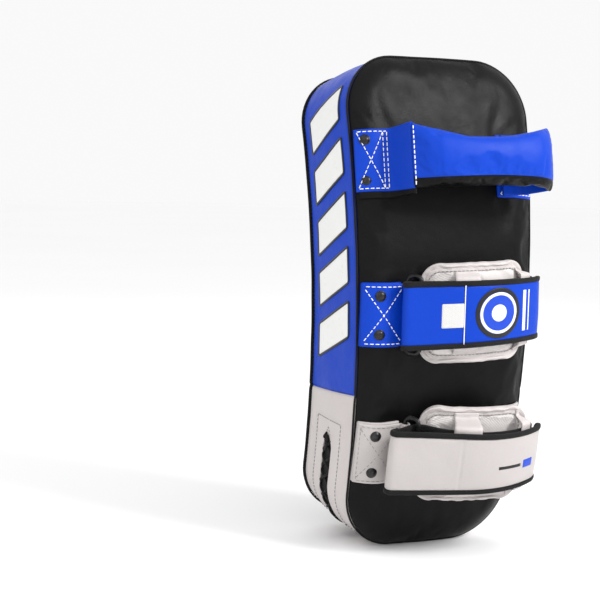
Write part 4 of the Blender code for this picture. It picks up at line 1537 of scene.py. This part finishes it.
# how far in from the edge its rows of points lie, in millimetres
CUSHION_INSETS = (0.4, 1.0, 2.1, 3.2, 3.9, 4.3, 5.0, 6.0, 6.9, 7.5, 7.9, 8.6, 10, 12, 14.5, 17.5, 21, 25, 29,
                  33, 37, 40)


def cushion_top(inset, p, q):
    """A fat rolled edge, a flat sewn band inside it, then a low quilted field with one upright seam."""
    if inset < ROLL:
        round_off = (inset - ROLL / 2) / (ROLL / 2 + 0.1 * MM)
        return 0.8 * MM + 3.5 * MM * math.sqrt(max(0.0, 1 - round_off ** 2))
    if inset < FIELD:
        return 2.9 * MM + 0.5 * MM * math.sin(math.pi * (inset - ROLL) / (FIELD - ROLL))
    field = 2.5 * MM + 1.8 * MM * (1 - math.exp(-(inset - FIELD) / (5 * MM)))
    return field - 1.4 * MM * hump(p - CUSHION_SEAM, 1.3 * MM)


def cushion_bottom(inset, p, q):
    """The side on the forearm, a plain low cushion."""
    return -(1.0 + 4.2 * math.sqrt(1 - (1 - min(1.0, inset / (11 * MM))) ** 2)) * MM


def is_sewn(inset, p, face):
    """Whether a seam holds a point of the quilt: at its edge, beside its band or along its upright seam."""
    if inset == 0.0 or face != 1:
        return inset == 0.0
    at_band = abs(inset - 4.3 * MM) < 0.1 * MM or abs(inset - 7.5 * MM) < 0.5 * MM
    return at_band or inset > FIELD and abs(p - CUSHION_SEAM) < 1.6 * MM


def build_cushion(strap):
    """The padded white cushion under a strap, with its seams and its keepers."""
    plan, place = strap.plan, strap.place
    center = [c * MM for c in plan["cushion_center"]]
    radius = plan["cushion_radius"] * MM
    start, end = (math.radians(a) for a in plan["cushion"])
    size = ((end - start) * radius / 2, CUSHION_HALF)

    def lay(p, q, h):
        a = (start + end) / 2 + p / radius
        return place.at(center[0] + (radius + h) * math.sin(a), center[1] + (radius + h) * math.cos(a), q)
    body = f"{strap.name}_forearm_cushion"
    insets = [d * MM for d in CUSHION_INSETS]
    cushion, spots = quilt(f"{strap.name}_padding", "white_leather", size, CUSHION_CORNER, insets,
                           cushion_top, cushion_bottom, lay, sides=22, turns=9)
    cushion.data.materials.append(LOOKS["white_mesh"])
    for face in cushion.data.polygons:
        held = [spots[v] for v in face.vertices]
        face.material_index = int(all(spot[0] > FIELD and spot[3] == 1 for spot in held))
    sewn = [n for n, (inset, p, q, face) in enumerate(spots) if is_sewn(inset, p, face)]
    simulate(cushion, 3.0, 1.3 * MM, sewn, growth=0.03)
    subdivide(cushion)
    tree = surface_of(cushion)
    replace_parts(cushion, f"{strap.name}_cushion")
    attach(cushion, body)

    surface = on_surface(tree, lay, 7 * MM)
    seams = Threads()
    loop = rounded(*size, CUSHION_CORNER, 7.0 * MM)
    seams.run(loop + loop[:1], surface, 2.3 * MM, 1.0 * MM, 0.3 * MM)
    seams.piece(f"{strap.name}_cushion_stitches", "grey_thread", body)
    reach = CUSHION_HALF - FIELD
    line = [(CUSHION_SEAM, q) for q in even(-reach, reach, 30)]
    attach(strip(f"{strap.name}_cushion_seam", "black_thread", line, 1.0 * MM, surface, 0.5 * MM), body)
    build_keepers(strap, surface, (start + end) / 2, size[0], body)


# the rows of a keeper, in millimetres from its middle, and where it comes down from the strap to the cushion
KEEPER_LEVELS = (0, 10, 20, 27, 29.6, 30.6, 31.5, 32.4, 33.4, 34.6, 36, 37.5)
KEEPER_STEP = 29.2
KEEPER_FALL = 4.6
KEEPER_THICK = 0.9 * MM
KEEPER_COLUMNS = 11
KEEPER_MARGIN = 9 * MM


def build_keepers(strap, surface, middle, half_long, body):
    """Two leather loops over the inner strap, sewn to the cushion above and below it."""
    base = strap.base
    center = [c * MM for c in strap.plan["cushion_center"]]
    radius = strap.plan["cushion_radius"] * MM
    reach = half_long - KEEPER_MARGIN
    heights = [v for v in KEEPER_LEVELS if strap.name == "lower" or v < 36]
    levels = [-v for v in heights[:0:-1]] + heights
    columns, rows = KEEPER_COLUMNS, len(levels)
    for side, (x0, x1) in zip(("left", "right"), strap.plan["keepers"]):
        low, high = base.length_at_x(x0 * MM), base.length_at_x(x1 * MM)
        skins = []
        for lift in (0.0, KEEPER_THICK):
            for v in levels:
                drop = ease((abs(v) - KEEPER_STEP) / KEEPER_FALL)
                for length in even(low, high, columns - 1):
                    spot = base.off(length, STRAP / 2 + 0.55 * MM + lift)
                    a = math.atan2(spot.x - center[0], spot.y - center[1])
                    along = max(-reach, min(reach, (a - middle) * radius))
                    on_pad = surface(along, v * MM, 0.15 * MM + lift)
                    skins.append(strap.place.over(spot, v * MM).lerp(on_pad, drop))
        count = columns * rows
        faces = grid_faces(columns, rows) + grid_faces(columns, rows, first=count)
        rim = list(range(columns)) + [(j + 1) * columns - 1 for j in range(1, rows)]
        rim += [count - 1 - i for i in range(1, columns)]
        rim += [j * columns for j in range(rows - 2, 0, -1)]
        for a, b in zip(rim, rim[1:] + rim[:1]):
            faces.append([a, b, count + b, count + a])
        keeper = add_piece(f"{strap.name}_keeper_loop_{side}", skins, faces, "white_leather")
        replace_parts(keeper, f"{strap.name}_keeper_{side}")
        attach(keeper, body)


def build_straps():
    """Both forearm straps, each with its ring and its cushion."""
    for name, plan in STRAPS.items():
        strap = Strap(name, plan)
        build_anchors(strap)
        build_ring(strap)
        build_base(strap)
        build_flap(strap)
        build_binding(strap)
        if name == "middle":
            build_middle_trim(strap)
        else:
            build_lower_trim(strap)
        build_cushion(strap)
        build_fastening(strap)


# ---------------------------------------------------------------- stage, light and camera

def build_stage():
    """A wide white floor."""
    mesh = bpy.data.meshes.new("studio_floor")
    reach = 14.0
    corners = [(-reach, -reach, 0), (reach, -reach, 0), (reach, reach, 0), (-reach, reach, 0)]
    mesh.from_pydata(corners, [], [(0, 1, 2, 3)])
    mesh.materials.append(studio_white("pale_floor"))
    floor = bpy.data.objects.new("studio_floor", mesh)
    bpy.context.scene.collection.objects.link(floor)


def area_light(name, spot, target, size, power):
    """A softbox at a spot, facing its target; size in metres, power in watts."""
    data = bpy.data.lights.new(name, "AREA")
    data.shape = "RECTANGLE"
    data.size, data.size_y = size
    data.energy = power
    lamp = bpy.data.objects.new(name, data)
    lamp.location = spot
    lamp.rotation_euler = (Vector(target) - Vector(spot)).to_track_quat("-Z", "Y").to_euler()
    bpy.context.scene.collection.objects.link(lamp)


def build_light():
    """A white studio: an even surround, three softboxes and a broad light from overhead."""
    world = bpy.data.worlds.new("studio")
    bpy.context.scene.world = world
    world.use_nodes = True
    shown = world.node_tree.nodes["Background"]
    shown.inputs["Color"].default_value = (1.0, 1.0, 1.0, 1.0)
    shown.inputs["Strength"].default_value = 0.95
    middle = (0.0, 0.0, 0.22)
    area_light("key_softbox", (-1.3, -1.6, 1.5), middle, (1.0, 1.0), 4)
    area_light("top_softbox", (0.75, -1.25, 1.25), (0.0, 0.0, 0.36), (0.5, 0.5), 26)
    area_light("back_softbox", (0.4, 1.9, 1.3), middle, (1.4, 1.0), 3)
    sun = bpy.data.lights.new("overhead_diffuser", "SUN")
    sun.energy = 0.3
    sun.angle = math.radians(60)
    lamp = bpy.data.objects.new("overhead_diffuser", sun)
    lamp.rotation_euler = Vector((0.35, 0.55, -1.0)).to_track_quat("-Z", "Y").to_euler()
    bpy.context.scene.collection.objects.link(lamp)


CAMERA_AZIMUTH = -29.6
CAMERA_ELEVATION = 4.8
CAMERA_ROLL = 1.3
CAMERA_DISTANCE = 1.3
CAMERA_LENS = 88.9
PAD_RIGHT_OF_CENTRE = 0.199
AIM_Z = ORIGIN_Z - 1.4 * MM


def build_camera():
    """Keeps the pad's own viewing angle and aims to its left, so that it stands right of centre."""
    azimuth, elevation, roll = (math.radians(a) for a in (CAMERA_AZIMUTH, CAMERA_ELEVATION, CAMERA_ROLL))
    back = Vector((math.sin(azimuth) * math.cos(elevation), -math.cos(azimuth) * math.cos(elevation),
                   math.sin(elevation)))
    target = Vector((0.0, ORIGIN_Y, AIM_Z))
    data = bpy.data.cameras.new("camera")
    data.lens = CAMERA_LENS
    frame_width = CAMERA_DISTANCE * data.sensor_width / CAMERA_LENS
    right = (-back).cross(Vector((0, 0, 1))).normalized()
    spot = target + back * CAMERA_DISTANCE
    back = (spot - (target - right * PAD_RIGHT_OF_CENTRE * frame_width)).normalized()
    right = (-back).cross(Vector((0, 0, 1))).normalized()
    up = right.cross(-back)
    tilted = right * math.cos(roll) + up * math.sin(roll)
    upright = up * math.cos(roll) - right * math.sin(roll)
    camera = bpy.data.objects.new("camera", data)
    camera.matrix_world = Matrix.Translation(spot) @ Matrix((tilted, upright, back)).transposed().to_4x4()
    bpy.context.scene.collection.objects.link(camera)
    bpy.context.scene.camera = camera


build_camera()
build_light()
build_stage()
build_pad()
build_handle()
build_straps()
bpy.context.scene.view_settings.view_transform = "Standard"
